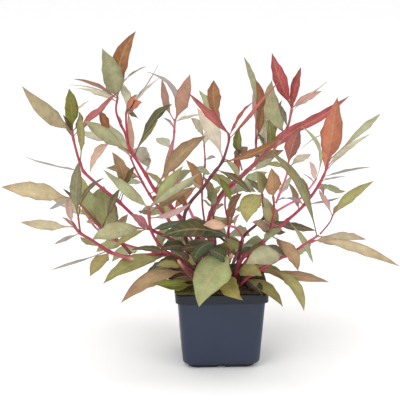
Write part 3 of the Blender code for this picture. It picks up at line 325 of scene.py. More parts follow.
            Leaf(291, 110, 290, 93, 42, 6, 0.7, 0.04, Tone.RUST),
            Leaf(285, 132, 272, 80, 60, 20, 0.95, -0.22, Tone.SAGE),
            Leaf(287, 128, 278, 103, -14, 10, 0.5, 0.04, Tone.DARK),
            Leaf(271, 148, 269, 119, -14, 11, 0.8, 0.04, Tone.BRIGHT),
            Leaf(268, 150, 263, 124, 52, 8, 0.6, 0.04, Tone.MAUVE),
            Leaf(285, 132, 349, 96, 12, 13, 0.7, -0.11, Tone.RED),
            Leaf(246, 171, 272, 158, 56, 9, 0.6, -0.11, Tone.SAGE, 0.64),
            Leaf(280, 139, 273, 154, -20, 9, 0.8, 0.1, Tone.AMBER),
            Leaf(267, 151, 257, 133, -16, 7, 0.5, 0.06, Tone.DARK),
            Leaf(213, 207, 203, 200, 40, 7, 0.6, 0.06, Tone.GREEN),
            Leaf(212, 214, 224, 205, 46, 9, 0.6, 0.1, Tone.RUST),
            Leaf(209, 231, 189, 226, 42, 12, 0.6, 0.12, Tone.OLIVE),
        ]),
    Stem("shoot_mid_top", "stem_right_top", SkinTone.PINK, 1.2, 0.9,
        [(256, 157, 16), (256, 146, 20), (256, 133, 23), (256, 122, 25)], [
            Leaf(256, 124, 244, 57, 44, 9, 0.7, 0.14, Tone.SAGE, 0.65),
            Leaf(256, 124, 256, 80, -2, 10.5, 0.85, 0.14, Tone.RUST, 0.55),
            Leaf(256, 123, 253.5, 88, 58, 9, 0.75, 0.01, Tone.MAUVE, 0.52),
            Leaf(256, 143, 263, 105, -12, 8, 0.9, -0.01, Tone.RUST, 0.62),
            Leaf(256, 140, 266, 128, 60, 9, 0.5, 0.06, Tone.PALE),
        ]),
    Stem("shoot_center_right", "stem_right_top", SkinTone.DARK_RED, 0.9, 0.7,
        [(242, 170, 5), (240, 162, -3), (238, 153, -8)], [
            Leaf(238, 154, 239.5, 127, -30, 10, 0.85, 0.04, Tone.BRIGHT),
            Leaf(238, 155, 248, 147, -38, 9, 0.7, 0.08, Tone.BROWN),
            Leaf(238, 155, 234, 152, -36, 7, 0.6, 0.08, Tone.DARK),
        ]),
    Stem("stem_right_front", None, SkinTone.CRIMSON, 2.2, 1.1,
        [(233, 291, -20), (240, 262, -34), (253, 250, -42), (267, 237, -50), (272, 222, -55),
         (274, 207, -58), (273, 195, -60)], [
            Leaf(273, 198, 271.5, 168, -92, 15, 0.95, 0, Tone.AMBER),
            Leaf(268, 235, 298, 271, -80, 13, 0.9, 0.27, Tone.BROWN, 0.6),
            Leaf(256, 248, 264, 244, -6, 10, 0.7, 0.1, Tone.PINK),
            Leaf(272, 224, 262, 207, -96, 10, 0.6, 0.1, Tone.OLIVE),
            Leaf(237, 272, 262, 276, -66, 15, 0.85, 0.16, Tone.OLIVE),
            Leaf(246, 256, 270, 250, -70, 13, 0.8, 0.12, Tone.DARK),
            Leaf(262, 241, 283, 229, -84, 9, 0.8, 0.08, Tone.SAGE),
            Leaf(270, 232, 252, 222, -90, 11, 0.8, 0.1, Tone.BROWN),
        ]),
    Stem("stem_right_high", "stem_right_front", SkinTone.CRIMSON, 1.8, 1.1,
        [(269, 234, -49), (285, 222, -44), (296, 213, -40), (304, 205, -36), (313, 194, -32),
         (322, 179, -28), (327, 167, -26), (328, 159, -25)], [
            Leaf(328, 160, 337.5, 97, -42, 20.5, 0.98, 0.01, Tone.ORANGE),
            Leaf(328, 162, 380.5, 113.5, 6, 9, 0.65, -0.01, Tone.SAGE, 0.66),
            Leaf(328, 166, 370.5, 134, 28, 8, 0.65, 0.06, Tone.PALE),
            Leaf(328, 160, 301, 149, 24, 4, 0.6, 0.8, Tone.GREY),
            Leaf(325, 178, 371, 167, 8, 10, 0.16, 0, Tone.GREY),
            Leaf(322, 182, 346, 176, 32, 8, 0.16, 0, Tone.GREY),
            Leaf(319, 184, 346, 191, 14, 8, 0.7, -0.08, Tone.GREEN),
            Leaf(318, 186, 324, 196, 4, 5, 0.7, 0.2, Tone.PINK),
            Leaf(304, 205, 277, 201, 14, 9, 0.22, 0.14, Tone.GREY),
            Leaf(289, 223, 313, 263, -14, 8, 0.8, 0.08, Tone.SAGE, 0.56),
            Leaf(304, 205, 304, 182, -68, 9, 0.6, 0.1, Tone.DARK),
            Leaf(304, 206, 341, 197, 10, 3, 0.8, -0.04, Tone.GREY, 0.53),
        ]),
    Stem("shoot_right_pink", "stem_right_front", SkinTone.HOT_PINK, 1.2, 0.8,
        [(277, 211, -60), (289, 204, -64), (301, 198, -62), (309, 189, -58), (317, 178, -54)], [
            Leaf(316, 181, 309.5, 161, -84, 8, 0.8, 0.03, Tone.PEACH),
            Leaf(317, 178, 301, 126, -64, 6, 0.6, 0.38, Tone.SAGE, 0.49),
            Leaf(314, 182, 303, 173.5, -30, 4, 0.4, 0.04, Tone.GREY),
        ]),
    Stem("shoot_right_upper", "stem_right_front", SkinTone.HOT_PINK, 1.1, 0.9,
        [(276, 203, -57), (281, 190, -51), (287, 174, -46), (288, 166, -45)], [
            Leaf(289.5, 167, 300, 128, -26, 14.5, 0.95, 0.1, Tone.MAROON, 0.55),
            Leaf(288, 168, 311, 154, -2, 10, 0.8, 0.05, Tone.PALE, 0.59),
            Leaf(279, 195, 291, 176, -8, 9, 0.7, -0.02, Tone.PALE),
            Leaf(287, 172, 266, 165, -86, 9, 0.5, 0.1, Tone.OLIVE),
        ]),
    Stem("stem_right_low", None, SkinTone.CRIMSON, 1.7, 1.0,
        [(232, 294, -27), (250, 276, -44), (272, 263, -54), (285, 256, -58), (296, 250, -60),
         (308, 242, -62), (319, 235, -63)], [
            Leaf(318, 235, 268, 150, -92, 10.5, 0.85, 0.17, Tone.STONE, 0.52),
            Leaf(311, 241, 400, 266.5, -70, 12, 0.8, 0.12, Tone.TAN, 0.5),
            Leaf(318, 235.5, 366, 239.5, -22, 10, 0.7, 0.03, Tone.TAN, 0.56),
            Leaf(285, 255, 246, 264, -84, 19, 0.9, 0.12, Tone.SAGE, 0.51),
            Leaf(285, 256, 264, 246, -24, 12, 0.6, 0.12, Tone.DARK),
            Leaf(262, 270, 329, 282, -66, 11, 0.8, 0, Tone.BROWN, 0.54),
            Leaf(264, 268, 304, 311, -86, 12.5, 0.85, 0.3, Tone.OLIVE, 0.55),
            Leaf(276, 261, 290, 250, -30, 13, 0.8, 0.08, Tone.DARK),
            Leaf(290, 253, 276, 240, -92, 12, 0.7, 0.08, Tone.BROWN),
        ]),
    Stem("shoot_right_low", "stem_right_low", SkinTone.RED_BROWN, 0.8, 0.6,
        [(320, 234, -66), (327, 226, -69), (331, 220, -71), (333, 214, -72)], [
            Leaf(333, 214, 374, 181, -60, 11, 0.8, 0.12, Tone.OLIVE),
            Leaf(332, 214, 319, 190, -48, 8, 0.7, 0.01, Tone.MAUVE, 0.56),
            Leaf(333, 215, 339, 204, -104, 4, 0.6, 0.05, Tone.BROWN),
        ]),
    Stem("stem_right_inner", None, SkinTone.PLUM, 1.8, 1.0,
        [(229, 289, -14), (238, 262, -22), (243, 238, -32), (256, 225, -42), (264, 217, -50),
         (263, 204, -56), (262, 192, -58)], [
            Leaf(262, 192, 247, 223, -84, 20, 0.9, 0.26, Tone.OLIVE),
            Leaf(262, 193, 268.5, 224, -76, 9.5, 0.8, 0.14, Tone.SAGE),
            Leaf(262, 193, 257, 171, -86, 14, 0.8, 0.08, Tone.OLIVE),
            Leaf(262, 194, 246, 178, -32, 11, 0.6, 0.08, Tone.DARK),
            Leaf(264, 220, 316, 230.5, -30, 10, 0.7, -0.04, Tone.DARK, 0.52),
            Leaf(262, 219, 286, 232, -78, 9, 0.6, -0.2, Tone.DARK, 0.5),
            Leaf(242, 243, 160, 237, -80, 18, 0.85, 0.17, Tone.DEEP, 0.58),
            Leaf(241, 250, 222, 240, -10, 15, 0.8, 0.08, Tone.OLIVE),
            Leaf(240, 256, 262, 254, -8, 15, 0.8, 0.1, Tone.DEEP),
        ]),
    Stem("shoot_front_pink", "stem_right_inner", SkinTone.HOT_PINK, 1.5, 1.0,
        [(243, 241, -31), (241, 234, -42), (236, 228, -52), (230, 226, -58)], [
            Leaf(230, 226, 203, 225, -74, 11, 0.85, 0.04, Tone.PEACH, 0.55),
            Leaf(236, 228, 240, 214, -60, 4, 0.7, 0.33, Tone.MAUVE, 0.51),
        ]),
    Stem("stem_mid_back", None, SkinTone.PINK, 1.3, 0.8,
        [(222, 283, 10), (212, 250, 22), (204, 218, 32), (202, 190, 42), (205, 165, 48), (204, 143, 52)], [
            Leaf(204, 143, 191, 118, 24, 9, 0.8, 0.16, Tone.PALE, 0.67),
            Leaf(204, 145, 216, 124, 92, 13, 0.7, 0.06, Tone.PALE),
            Leaf(204, 160, 216, 157.5, 92, 4, 0.3, 0.06, Tone.GREY),
            Leaf(205, 164, 193, 171, 92, 8, 0.5, -0.1, Tone.SAGE),
            Leaf(202, 192, 190, 180, 88, 11, 0.6, 0.08, Tone.OLIVE),
            Leaf(206, 226, 226, 218, 64, 12, 0.6, 0.1, Tone.OLIVE),
        ]),
    Stem("stem_mid_front", None, SkinTone.RED_BROWN, 1.3, 0.8,
        [(219, 289, -6), (216, 250, -12), (214, 222, -15), (212, 206, -16), (213, 196, -17)], [
            Leaf(215, 242, 194, 263, -62, 24, 0.85, 0.2, Tone.MOSS),
            Leaf(213, 204, 207, 191, -48, 7, 0.7, 0.1, Tone.GREEN),
            Leaf(213, 205, 217, 190, -52, 9, 0.7, 0.16, Tone.SAGE, 0.33),
            Leaf(213, 198, 204, 177, -16, 11, 0.7, 0.06, Tone.BROWN),
            Leaf(213, 200, 223, 184, 24, 10, 0.6, 0.08, Tone.OLIVE),
            Leaf(216, 254, 180, 250, -46, 17, 0.85, 0.14, Tone.DARK),
            Leaf(215, 236, 228, 243, -52, 12, 0.8, 0.14, Tone.DEEP),
            Leaf(214, 228, 198, 224, -50, 8, 0.8, 0.08, Tone.GREEN),
        ]),
    Stem("stem_mid_right", None, SkinTone.CRIMSON, 1.3, 0.8,
        [(225, 288, -8), (229, 250, -14), (228, 222, -17), (225, 205, -19), (226, 189, -20)], [
            Leaf(227, 214, 242, 193, -46, 11, 0.7, 0.05, Tone.RUST),
            Leaf(226, 190, 237, 184, 22, 9, 0.7, -0.09, Tone.PINK, 0.54),
            Leaf(228, 220, 236, 204, -58, 9, 0.6, 0.06, Tone.RUST),
            Leaf(226, 190, 219, 184, 28, 11, 0.6, 0.08, Tone.OLIVE),
        ]),
    Stem("stub_left", None, SkinTone.STUB, 2.0, 1.8,
        [(204, 292, -30), (194, 281, -45), (184, 269, -57), (178, 260, -63)], [
            Leaf(187, 270, 121, 303, -78, 16.5, 0.85, 0.21, Tone.BROWN, 0.5),
            Leaf(190, 274, 151, 276, -42, 15, 0.7, 0.07, Tone.SHADE, 0.5),
            Leaf(193, 278, 151, 284, -86, 11, 0.6, -0.09, Tone.BRIGHT, 0.5),
            Leaf(184, 266, 156, 266, -18, 12, 0.6, 0.12, Tone.OLIVE),
            Leaf(196, 284, 160, 286, -66, 10, 0.85, -0.05, Tone.BRIGHT, 0.56),
            Leaf(188, 272, 146, 275, -60, 13, 0.85, 0.33, Tone.MOSS, 0.65),
        ]),
    Stem("stub_front", None, SkinTone.STUB, 2.0, 1.8,
        [(220, 293, -26), (224, 276, -40), (228, 263, -48), (232, 254, -52)], [
            Leaf(231, 256, 199, 307, -88, 33, 0.95, 0.19, Tone.LIGHT),
            Leaf(226, 269, 243, 300, -80, 20, 0.9, -0.29, Tone.YELLOW),
            Leaf(221, 282, 196, 292, -62, 15, 0.8, 0.16, Tone.DEEP),
            Leaf(229, 261, 208, 250, -66, 15, 0.8, 0.1, Tone.MOSS),
        ]),
    Stem("stub_right", None, SkinTone.STUB, 2.0, 1.7,
        [(238, 292, -22), (246, 276, -30), (252, 262, -32), (256, 256, -33)], [
            Leaf(240, 278, 283, 307, -72, 13, 0.85, 0.18, Tone.OLIVE),
            Leaf(252, 263, 276, 262, 10, 12, 0.6, 0.14, Tone.GREEN),
            Leaf(251, 266, 288, 284, -62, 11, 0.85, 0.2, Tone.GREEN),
            Leaf(254, 260, 272, 248, -8, 15, 0.8, 0.1, Tone.OLIVE),
            Leaf(243, 281, 262, 296, -58, 13, 0.8, 0.2, Tone.SHADE),
        ]),
    Stem("stem_back_right", None, SkinTone.CRIMSON, 2.0, 1.0,
        [(226, 281, 20), (216, 252, 46), (211, 224, 72), (222, 196, 94), (239, 180, 110), (255, 165, 122),
         (266, 152, 130)], [
            Leaf(266, 153, 282, 100, 150, 17, -0.85, 0.04, Tone.RUST),
            Leaf(266, 153, 257, 98, 122, 15, -0.75, 0.04, Tone.SAGE),
            Leaf(266, 154, 318, 116, 146, 15, -0.75, 0.05, Tone.RED),
            Leaf(262, 158, 248, 150, 158, 8, -0.75, 0.06, Tone.OLIVE),
            Leaf(250, 170, 274, 152, 166, 14, -0.75, 0.1, Tone.GREEN),
            Leaf(240, 179, 224, 158, 140, 8, -0.75, 0.06, Tone.SAGE),
            Leaf(222, 197, 244, 190, 150, 14, -0.75, 0.1, Tone.OLIVE),
            Leaf(212, 230, 236, 222, 100, 14, -0.75, 0.12, Tone.OLIVE),
            Leaf(212, 233, 190, 236, 92, 14, -0.75, 0.12, Tone.GREEN),
            Leaf(216, 208, 206, 197, 118, 7, -0.75, 0.08, Tone.GREEN),
            Leaf(230, 188, 256, 192, 130, 14, -0.75, 0.1, Tone.SAGE),
            Leaf(256, 164, 284, 150, 112, 14, -0.75, 0.06, Tone.BROWN),
            Leaf(219, 262, 200, 262, 74, 17, -0.75, 0.16, Tone.GREEN),
        ]),
    Stem("stem_back_far_right", None, SkinTone.CRIMSON, 1.8, 1.0,
        [(232, 282, 14), (247, 260, 38), (266, 240, 64), (284, 224, 86), (299, 210, 100), (311, 196, 108),
         (321, 181, 112), (326, 170, 113)], [
            Leaf(326, 171, 334, 122, 126, 14, -0.85, 0.04, Tone.ORANGE),
            Leaf(326, 171, 366, 137, 140, 7, -0.75, 0.11, Tone.TAN, 0.58),
            Leaf(311, 196, 292, 172, 136, 9, -0.75, 0.05, Tone.OLIVE),
            Leaf(315, 190, 340, 189, 138, 7, -0.75, 0.1, Tone.SAGE),
            Leaf(298, 210, 288, 182, 140, 8, -0.75, 0.06, Tone.BROWN),
            Leaf(284, 224, 308, 228, 128, 8, -0.75, 0, Tone.GREEN, 0.49),
            Leaf(270, 236, 262, 206, 126, 14, -0.75, 0.06, Tone.OLIVE),
            Leaf(255, 251, 246, 254, 70, 12, -0.75, 0.08, Tone.OLIVE),
            Leaf(259, 247, 278, 256, 84, 13, -0.75, 0.12, Tone.DARK),
            Leaf(276, 231, 268, 200, 92, 14, -0.75, 0.05, Tone.OLIVE),
            Leaf(308, 200, 297, 180, 112, 8, -0.75, 0.05, Tone.SAGE),
            Leaf(250, 257, 268, 262, 84, 17, -0.75, 0.16, Tone.OLIVE),
        ]),
    Stem("stem_back_left", None, SkinTone.CRIMSON, 2.0, 1.0,
        [(213, 282, 18), (200, 258, 44), (180, 234, 70), (162, 212, 88), (148, 192, 100), (136, 170, 108),
         (130, 156, 112)], [
            Leaf(130, 157, 128, 112, 120, 9, -0.85, 0.04, Tone.SALMON),
            Leaf(130, 158, 99, 118, 136, 15, -0.75, 0.05, Tone.SAGE),
            Leaf(131, 159, 158, 120, 146, 8, -0.75, 0.04, Tone.OLIVE, 0.67),
            Leaf(140, 178, 106, 168, 142, 14, -0.75, 0.08, Tone.BROWN),
            Leaf(148, 196, 176, 174, 144, 8, -0.75, -0.06, Tone.GREEN, 0.57),
            Leaf(160, 210, 140, 214, 140, 8, -0.75, 0.12, Tone.OLIVE),
            Leaf(178, 232, 196, 228, 130, 10, -0.75, 0.06, Tone.SAGE),
            Leaf(190, 246, 214, 232, 78, 14, -0.75, 0.1, Tone.DARK),
            Leaf(187, 242, 165, 246, 86, 15, -0.75, 0.12, Tone.OLIVE),
            Leaf(170, 222, 160, 190, 96, 14, -0.75, 0.05, Tone.GREEN),
            Leaf(142, 182, 122, 184, 124, 8, -0.75, 0.1, Tone.SAGE),
        ]),
    Stem("stem_back_far_left", None, SkinTone.CRIMSON, 1.7, 1.0,
        [(206, 284, 10), (190, 264, 34), (166, 252, 58), (138, 248, 80), (114, 240, 96), (96, 228, 106),
         (86, 214, 110)], [
            Leaf(86, 215, 78, 172, 124, 16, -0.85, 0.04, Tone.OLIVE),
            Leaf(86, 216, 46, 196, 132, 15, -0.75, 0.05, Tone.TAN),
            Leaf(87, 217, 104, 186, 138, 14, -0.75, 0.06, Tone.GREEN),
            Leaf(104, 234, 92, 212, 140, 12, -0.75, 0.08, Tone.SAGE),
            Leaf(116, 240, 128, 214, 136, 14, -0.75, 0.06, Tone.BROWN),
            Leaf(140, 248, 112, 262, 118, 16, -0.75, 0.14, Tone.GREEN),
            Leaf(156, 250, 170, 226, 124, 14, -0.75, 0.08, Tone.OLIVE),
            Leaf(177, 257, 186, 236, 72, 14, -0.75, 0.06, Tone.OLIVE),
            Leaf(168, 253, 150, 262, 86, 15, -0.75, 0.12, Tone.DARK),
            Leaf(124, 244, 96, 252, 122, 14, -0.75, 0.1, Tone.OLIVE),
        ]),
    Stem("stem_back_low_right", None, SkinTone.CRIMSON, 1.6, 1.0,
        [(234, 284, 10), (250, 270, 34), (272, 260, 58), (296, 250, 78), (316, 240, 92)], [
            Leaf(316, 241, 358, 250, 116, 16, -0.75, 0.14, Tone.TAN),
            Leaf(316, 241, 345, 240, 126, 10, -0.75, 0.05, Tone.OLIVE),
            Leaf(312, 242, 295, 258, 116, 12, -0.75, 0.05, Tone.SAGE),
            Leaf(294, 251, 270, 258, 104, 13, -0.75, 0.16, Tone.GREEN),
            Leaf(274, 259, 262, 250, 112, 12, -0.75, 0.06, Tone.BROWN),
        ]),
    Stem("stem_back_inner", None, SkinTone.CRIMSON, 1.9, 1.0,
        [(220, 280, 24), (222, 260, 54), (226, 240, 84), (231, 220, 110), (236, 202, 130), (238, 188, 142)], [
            Leaf(238, 189, 239, 135, 150, 8, -0.85, 0.04, Tone.RED),
            Leaf(238, 189, 268, 172, 172, 15, -0.75, 0.06, Tone.SAGE),
            Leaf(238, 190, 208, 176, 170, 15, -0.75, 0.06, Tone.OLIVE),
            Leaf(234, 210, 260, 208, 166, 15, -0.75, 0.12, Tone.GREEN),
            Leaf(227, 236, 250, 236, 140, 16, -0.75, 0.16, Tone.GREEN),
            Leaf(226, 238, 206, 240, 140, 16, -0.75, 0.16, Tone.OLIVE),
            Leaf(223, 254, 242, 256, 98, 15, -0.75, 0.16, Tone.SAGE),
            Leaf(223, 257, 206, 260, 84, 17, -0.75, 0.16, Tone.BROWN),
        ]),
    Stem("stem_back_inner_left", None, SkinTone.CRIMSON, 1.8, 1.0,
        [(214, 281, 20), (205, 260, 50), (192, 240, 80), (180, 220, 104), (170, 202, 122), (165, 186, 132)], [
            Leaf(165, 187, 172, 140, 148, 7, -0.85, 0.04, Tone.SALMON),
            Leaf(165, 187, 146, 172, 160, 8, -0.75, 0.06, Tone.OLIVE),
            Leaf(166, 189, 192, 170, 162, 15, -0.75, 0.08, Tone.SAGE),
            Leaf(176, 212, 148, 216, 148, 15, -0.75, 0.14, Tone.GREEN),
            Leaf(182, 224, 206, 226, 148, 10, -0.75, 0.14, Tone.OLIVE),
            Leaf(194, 244, 168, 248, 128, 16, -0.75, 0.18, Tone.GREEN),
            Leaf(202, 254, 182, 262, 88, 15, -0.75, 0.16, Tone.OLIVE),
            Leaf(173, 207, 150, 198, 142, 14, -0.75, 0.08, Tone.DARK),
        ]),
    Stem("stub_back", None, SkinTone.STUB, 2.0, 1.7,
        [(228, 281, 26), (233, 264, 38), (238, 253, 52), (243, 245, 64)], [
            Leaf(241, 257, 212, 250, 100, 18, -0.75, 0.2, Tone.OLIVE),
            Leaf(242, 254, 268, 248, 104, 18, -0.75, 0.2, Tone.GREEN),
            Leaf(239, 260, 240, 244, 122, 18, -0.85, 0.24, Tone.SAGE),
        ]),
]


@dataclass(frozen=True)
class FrontSheet:
    """The 400-unit sheet that the plant is laid out on, seen from the camera."""

    middle: float = 200.0
    focus: float = 1659.0
    distance: float = 1.6
    target: Vector = field(default_factory=lambda: Vector((-0.0193, 0.0, 0.1588)))
    slope: float = math.radians(14.0)
    tip_reach: float = 1.6

    @property
    def up(self) -> Vector:
        """The direction up the sheet."""
        return Vector((0.0, math.sin(self.slope), math.cos(self.slope)))

    @property
    def away(self) -> Vector:
        """The direction from the camera into the sheet."""
        return Vector((0.0, math.cos(self.slope), -math.sin(self.slope)))

    def place(self, across: float, down: float, depth: float) -> Vector:
        """Turn a place on the sheet into metres.

        Args:
            across: units from the left edge.
            down: units from the top edge.
            depth: mm behind the pot's axis.

        Returns:
            The point in metres.
        """
        toward = depth * MM - self.target.y
        rise = (self.middle - down) / self.focus
        slide = (across - self.middle) / self.focus
        reach = self.distance + toward * self.up.z
        height = (rise * reach - toward * self.up.y) / (self.up.z + rise * self.up.y)
        return self.target + Vector((slide * (reach - height * self.up.y), toward, height))

    def on_route(self, route: list[Spot], across: float, down: float) -> Vector:
        """Find the place on a stem's route that is nearest to a point of the sheet.

        Args:
            route: the stem's places on the sheet.
            across: units from the left edge.
            down: units from the top edge.

        Returns:
            The point in metres.
        """
        aim = Vector((across, down))
        best = None
        for first, second in zip(route, route[1:]):
            start = Vector(first[:2])
            run = Vector(second[:2]) - start
            end_share = 1.0 - self.tip_reach / run.length if second is route[-1] else 1.0
            share = min(max((aim - start).dot(run) / run.length_squared, 0.0), end_share)
            miss = (start + run * share - aim).length
            if best is None or miss < best[0]:
                best = (miss, [a + (b - a) * share for a, b in zip(first, second)])
        return self.place(*best[1])


SHEET = FrontSheet()


def clear_choice() -> None:
    """Deselect every object."""
    bpy.ops.object.select_all(action="DESELECT")


def choose(thing: bpy.types.Object) -> None:
    """Select one object and make it active."""
    clear_choice()
    thing.select_set(True)
    bpy.context.view_layer.objects.active = thing


def apply_modifier(thing: bpy.types.Object, kind: str, **settings: object) -> None:
    """Add a modifier to an object and apply it.

    Args:
        thing: the object.
        kind: the modifier's type.
        settings: its values by name.
    """
    choose(thing)
    step = thing.modifiers.new(kind.lower(), kind)
    for name, value in settings.items():
        setattr(step, name, value)
    bpy.ops.object.modifier_apply(modifier=step.name)


def clean_up(thing: bpy.types.Object) -> None:
    """Merge what lies on one spot and turn every face outwards.

    Args:
        thing: the object.
    """
    choose(thing)
    bpy.ops.object.mode_set(mode="EDIT")
    bpy.ops.mesh.select_all(action="SELECT")
    bpy.ops.mesh.remove_doubles(threshold=MERGE)
    bpy.ops.mesh.normals_make_consistent(inside=False)
    bpy.ops.object.mode_set(mode="OBJECT")


def joined(name: str, copies: list[bpy.types.Object]) -> bpy.types.Object:
    """Join copies into one object.

    Args:
        name: the piece's name.
        copies: the objects, all at the origin.

    Returns:
        The joined object.
    """
    clear_choice()
    for copy in copies:
        copy.select_set(True)
    bpy.context.view_layer.objects.active = copies[0]
    bpy.ops.object.join()
    piece = copies[0]
    piece.name = name
    piece.data.name = name
    return piece


def paint(mesh: bpy.types.Mesh, tints: np.ndarray) -> None:
    """Give each corner of a mesh its color in the attribute "tint".

    Args:
        mesh: the mesh.
        tints: one row of red, green, blue and alpha for each corner.
    """
    layer = mesh.attributes.get("tint") or mesh.attributes.new("tint", "FLOAT_COLOR", "POINT")
    layer.data.foreach_set("color", np.asarray(tints, dtype=np.float32).ravel())


def coat(thing: bpy.types.Object, material: bpy.types.Material) -> None:
    """Give an object its only material.

    Args:
        thing: the object.
        material: its material.
    """
    thing.data.materials.clear()
    thing.data.materials.append(material)


class Wiring:
    """Adds nodes to a node tree and joins them."""

    def __init__(self, tree: bpy.types.NodeTree) -> None:
        """Keep the tree.

        Args:
            tree: a material's or a group's node tree.
        """
        self.tree = tree

    def put(self, kind: str, inputs: dict | None = None, **settings: object) -> bpy.types.Node:
        """Add a node.

        Args:
            kind: the node's type, without "ShaderNode".
            inputs: a value or another node's output for each input, by name or number.
            settings: the node's own settings.

        Returns:
            The node.
        """
        node = self.tree.nodes.new("ShaderNode" + kind)
        for name, value in settings.items():
            setattr(node, name, value)
        self.feed(node, inputs or {})
        return node

    def feed(self, node: bpy.types.Node, inputs: dict) -> None:
        """Give a node's inputs their values.

        Args:
            node: the node.
            inputs: a value or another node's output for each input, by name or number.
        """
        for key, value in inputs.items():
            if isinstance(value, bpy.types.NodeSocket):
                self.tree.links.new(value, node.inputs[key])
            else:
                node.inputs[key].default_value = value

    def math(self, operation: str, *values: object) -> bpy.types.NodeSocket:
        """Add a Math node and return its output.

        Args:
            operation: the node's operation.
            values: numbers or outputs.

        Returns:
            The node's output.
        """
        return self.put("Math", dict(enumerate(values)), operation=operation).outputs[0]

    def blend(self, share: object, first: object, second: object, kind: str = "MIX") -> bpy.types.NodeSocket:
        """Mix two colors.

        Args:
            share: how much of the second, 0 to 1.
            first: the first color.
            second: the second color.
            kind: the way of mixing.

        Returns:
            The mixed color.
        """
        node = self.put("Mix", {0: share, 6: first, 7: second}, data_type="RGBA", blend_type=kind)
        return node.outputs[2]

    def span(self, value: object, low: float, high: float, to_low: float = 0.0,
             to_high: float = 1.0) -> bpy.types.NodeSocket:
        """Map a range onto another, clamped.

        Args:
            value: the number or output.
            low: the lowest value read.
            high: the highest value read.
            to_low: what the lowest becomes.
            to_high: what the highest becomes.

        Returns:
            The mapped value.
        """
        inputs = {"Value": value, "From Min": low, "From Max": high, "To Min": to_low, "To Max": to_high}
        return self.put("MapRange", inputs).outputs[0]


def new_group(name: str, inputs: dict[str, str],
              outputs: dict[str, str]) -> tuple[Wiring, dict, bpy.types.Node]:
    """Start a shader node group.

    Args:
        name: the group's name.
        inputs: socket type by name.
        outputs: socket type by name.

    Returns:
        The wiring, the group's inputs by name and its output node.
    """
    tree = bpy.data.node_groups.new(name, "ShaderNodeTree")
    for label, kind in inputs.items():
        tree.interface.new_socket(name=label, in_out="INPUT", socket_type="NodeSocket" + kind)
    for label, kind in outputs.items():
        tree.interface.new_socket(name=label, in_out="OUTPUT", socket_type="NodeSocket" + kind)
    source = tree.nodes.new("NodeGroupInput")
    sink = tree.nodes.new("NodeGroupOutput")
    return Wiring(tree), {label: source.outputs[label] for label in inputs}, sink


def finish_group(wiring: Wiring, sink: bpy.types.Node, outputs: dict) -> bpy.types.NodeTree:
    """Join a group's results to its outputs.

    Args:
        wiring: the group's wiring.
        sink: the group's output node.
        outputs: the result for each output, by name.

    Returns:
        The group's tree.
    """
    for label, socket in outputs.items():
        wiring.tree.links.new(socket, sink.inputs[label])
    return wiring.tree


class SharedEffects:
    """The effects that several finishes use, each built once."""

    def __init__(self) -> None:
        """Build the groups."""
        self.mottle = self.make_mottle()
        self.veins = self.make_veins()

    def make_mottle(self) -> bpy.types.NodeTree:
        """Make cloudy light and dark patches with a fine grain over them.

        Returns:
            The group.
        """
        inputs = {"Color": "Color", "Position": "Vector", "Patch Scale": "Float", "Patch Strength": "Float",
                  "Grain Scale": "Float", "Grain Strength": "Float"}
        wiring, given, sink = new_group("mottle", inputs, {"Color": "Color", "Patches": "Float",
                                                           "Grain": "Float"})
        patches = wiring.put("TexNoise", {"Vector": given["Position"], "Scale": given["Patch Scale"],
                                          "Detail": 4.0, "Roughness": 0.6}).outputs[0]
        grain = wiring.put("TexNoise", {"Vector": given["Position"], "Scale": given["Grain Scale"],
                                        "Detail": 3.0, "Roughness": 0.65}).outputs[0]
        wide = wiring.math("MULTIPLY", wiring.span(patches, 0.3, 0.7, -1.0, 1.0), given["Patch Strength"])
        fine = wiring.math("MULTIPLY", wiring.span(grain, 0.3, 0.7, -1.0, 1.0), given["Grain Strength"])
        factor = wiring.math("ADD", wiring.math("ADD", wide, fine), 1.0)
        shaded = wiring.put("VectorMath", {0: given["Color"], "Scale": factor}, operation="SCALE").outputs[0]
        return finish_group(wiring, sink, {"Color": shaded, "Patches": wiring.span(patches, 0.3, 0.7),
                                           "Grain": wiring.span(grain, 0.3, 0.7)})

    def make_veins(self) -> bpy.types.NodeTree:
        """Make a leaf's midrib and the side veins that sweep from it towards the tip.

        Returns:
            The group.
        """
        wiring, given, sink = new_group("leaf_veins", {"Blade": "Vector", "Pairs": "Float"},
                                        {"Midrib": "Float", "Veins": "Float", "Relief": "Float"})
        parts = wiring.put("SeparateXYZ", {0: given["Blade"]})
        across = wiring.math("ABSOLUTE", wiring.math("MULTIPLY_ADD", parts.outputs[0], 2.0, -1.0))
        sweep = wiring.math("MULTIPLY", wiring.math("POWER", across, 1.3), 0.16)
        along = wiring.math("MULTIPLY", wiring.math("SUBTRACT", parts.outputs[1], sweep), given["Pairs"])
        step = wiring.math("ABSOLUTE", wiring.math("SUBTRACT", wiring.math("FRACT", along), 0.5))
        midrib = wiring.span(across, 0.04, 0.12, 1.0, 0.0)
        vein = wiring.math("MULTIPLY", wiring.span(step, 0.06, 0.16, 1.0, 0.0),
                           wiring.span(across, 0.55, 0.95, 1.0, 0.0))
        pillow = wiring.math("MULTIPLY", step, 0.8)
        relief = wiring.math("SUBTRACT", wiring.math("SUBTRACT", pillow, wiring.math("MULTIPLY", vein, 0.3)),
                             wiring.math("MULTIPLY", midrib, 0.6))
        return finish_group(wiring, sink, {"Midrib": midrib, "Veins": vein, "Relief": relief})


def new_material(name: str) -> tuple[bpy.types.Material, Wiring, bpy.types.Node]:
    """Start a material.

    Args:
        name: the material's name.

    Returns:
        The material, its wiring and its Principled BSDF.
    """
    material = bpy.data.materials.new(name)
    material.use_nodes = True
    return material, Wiring(material.node_tree), material.node_tree.nodes["Principled BSDF"]


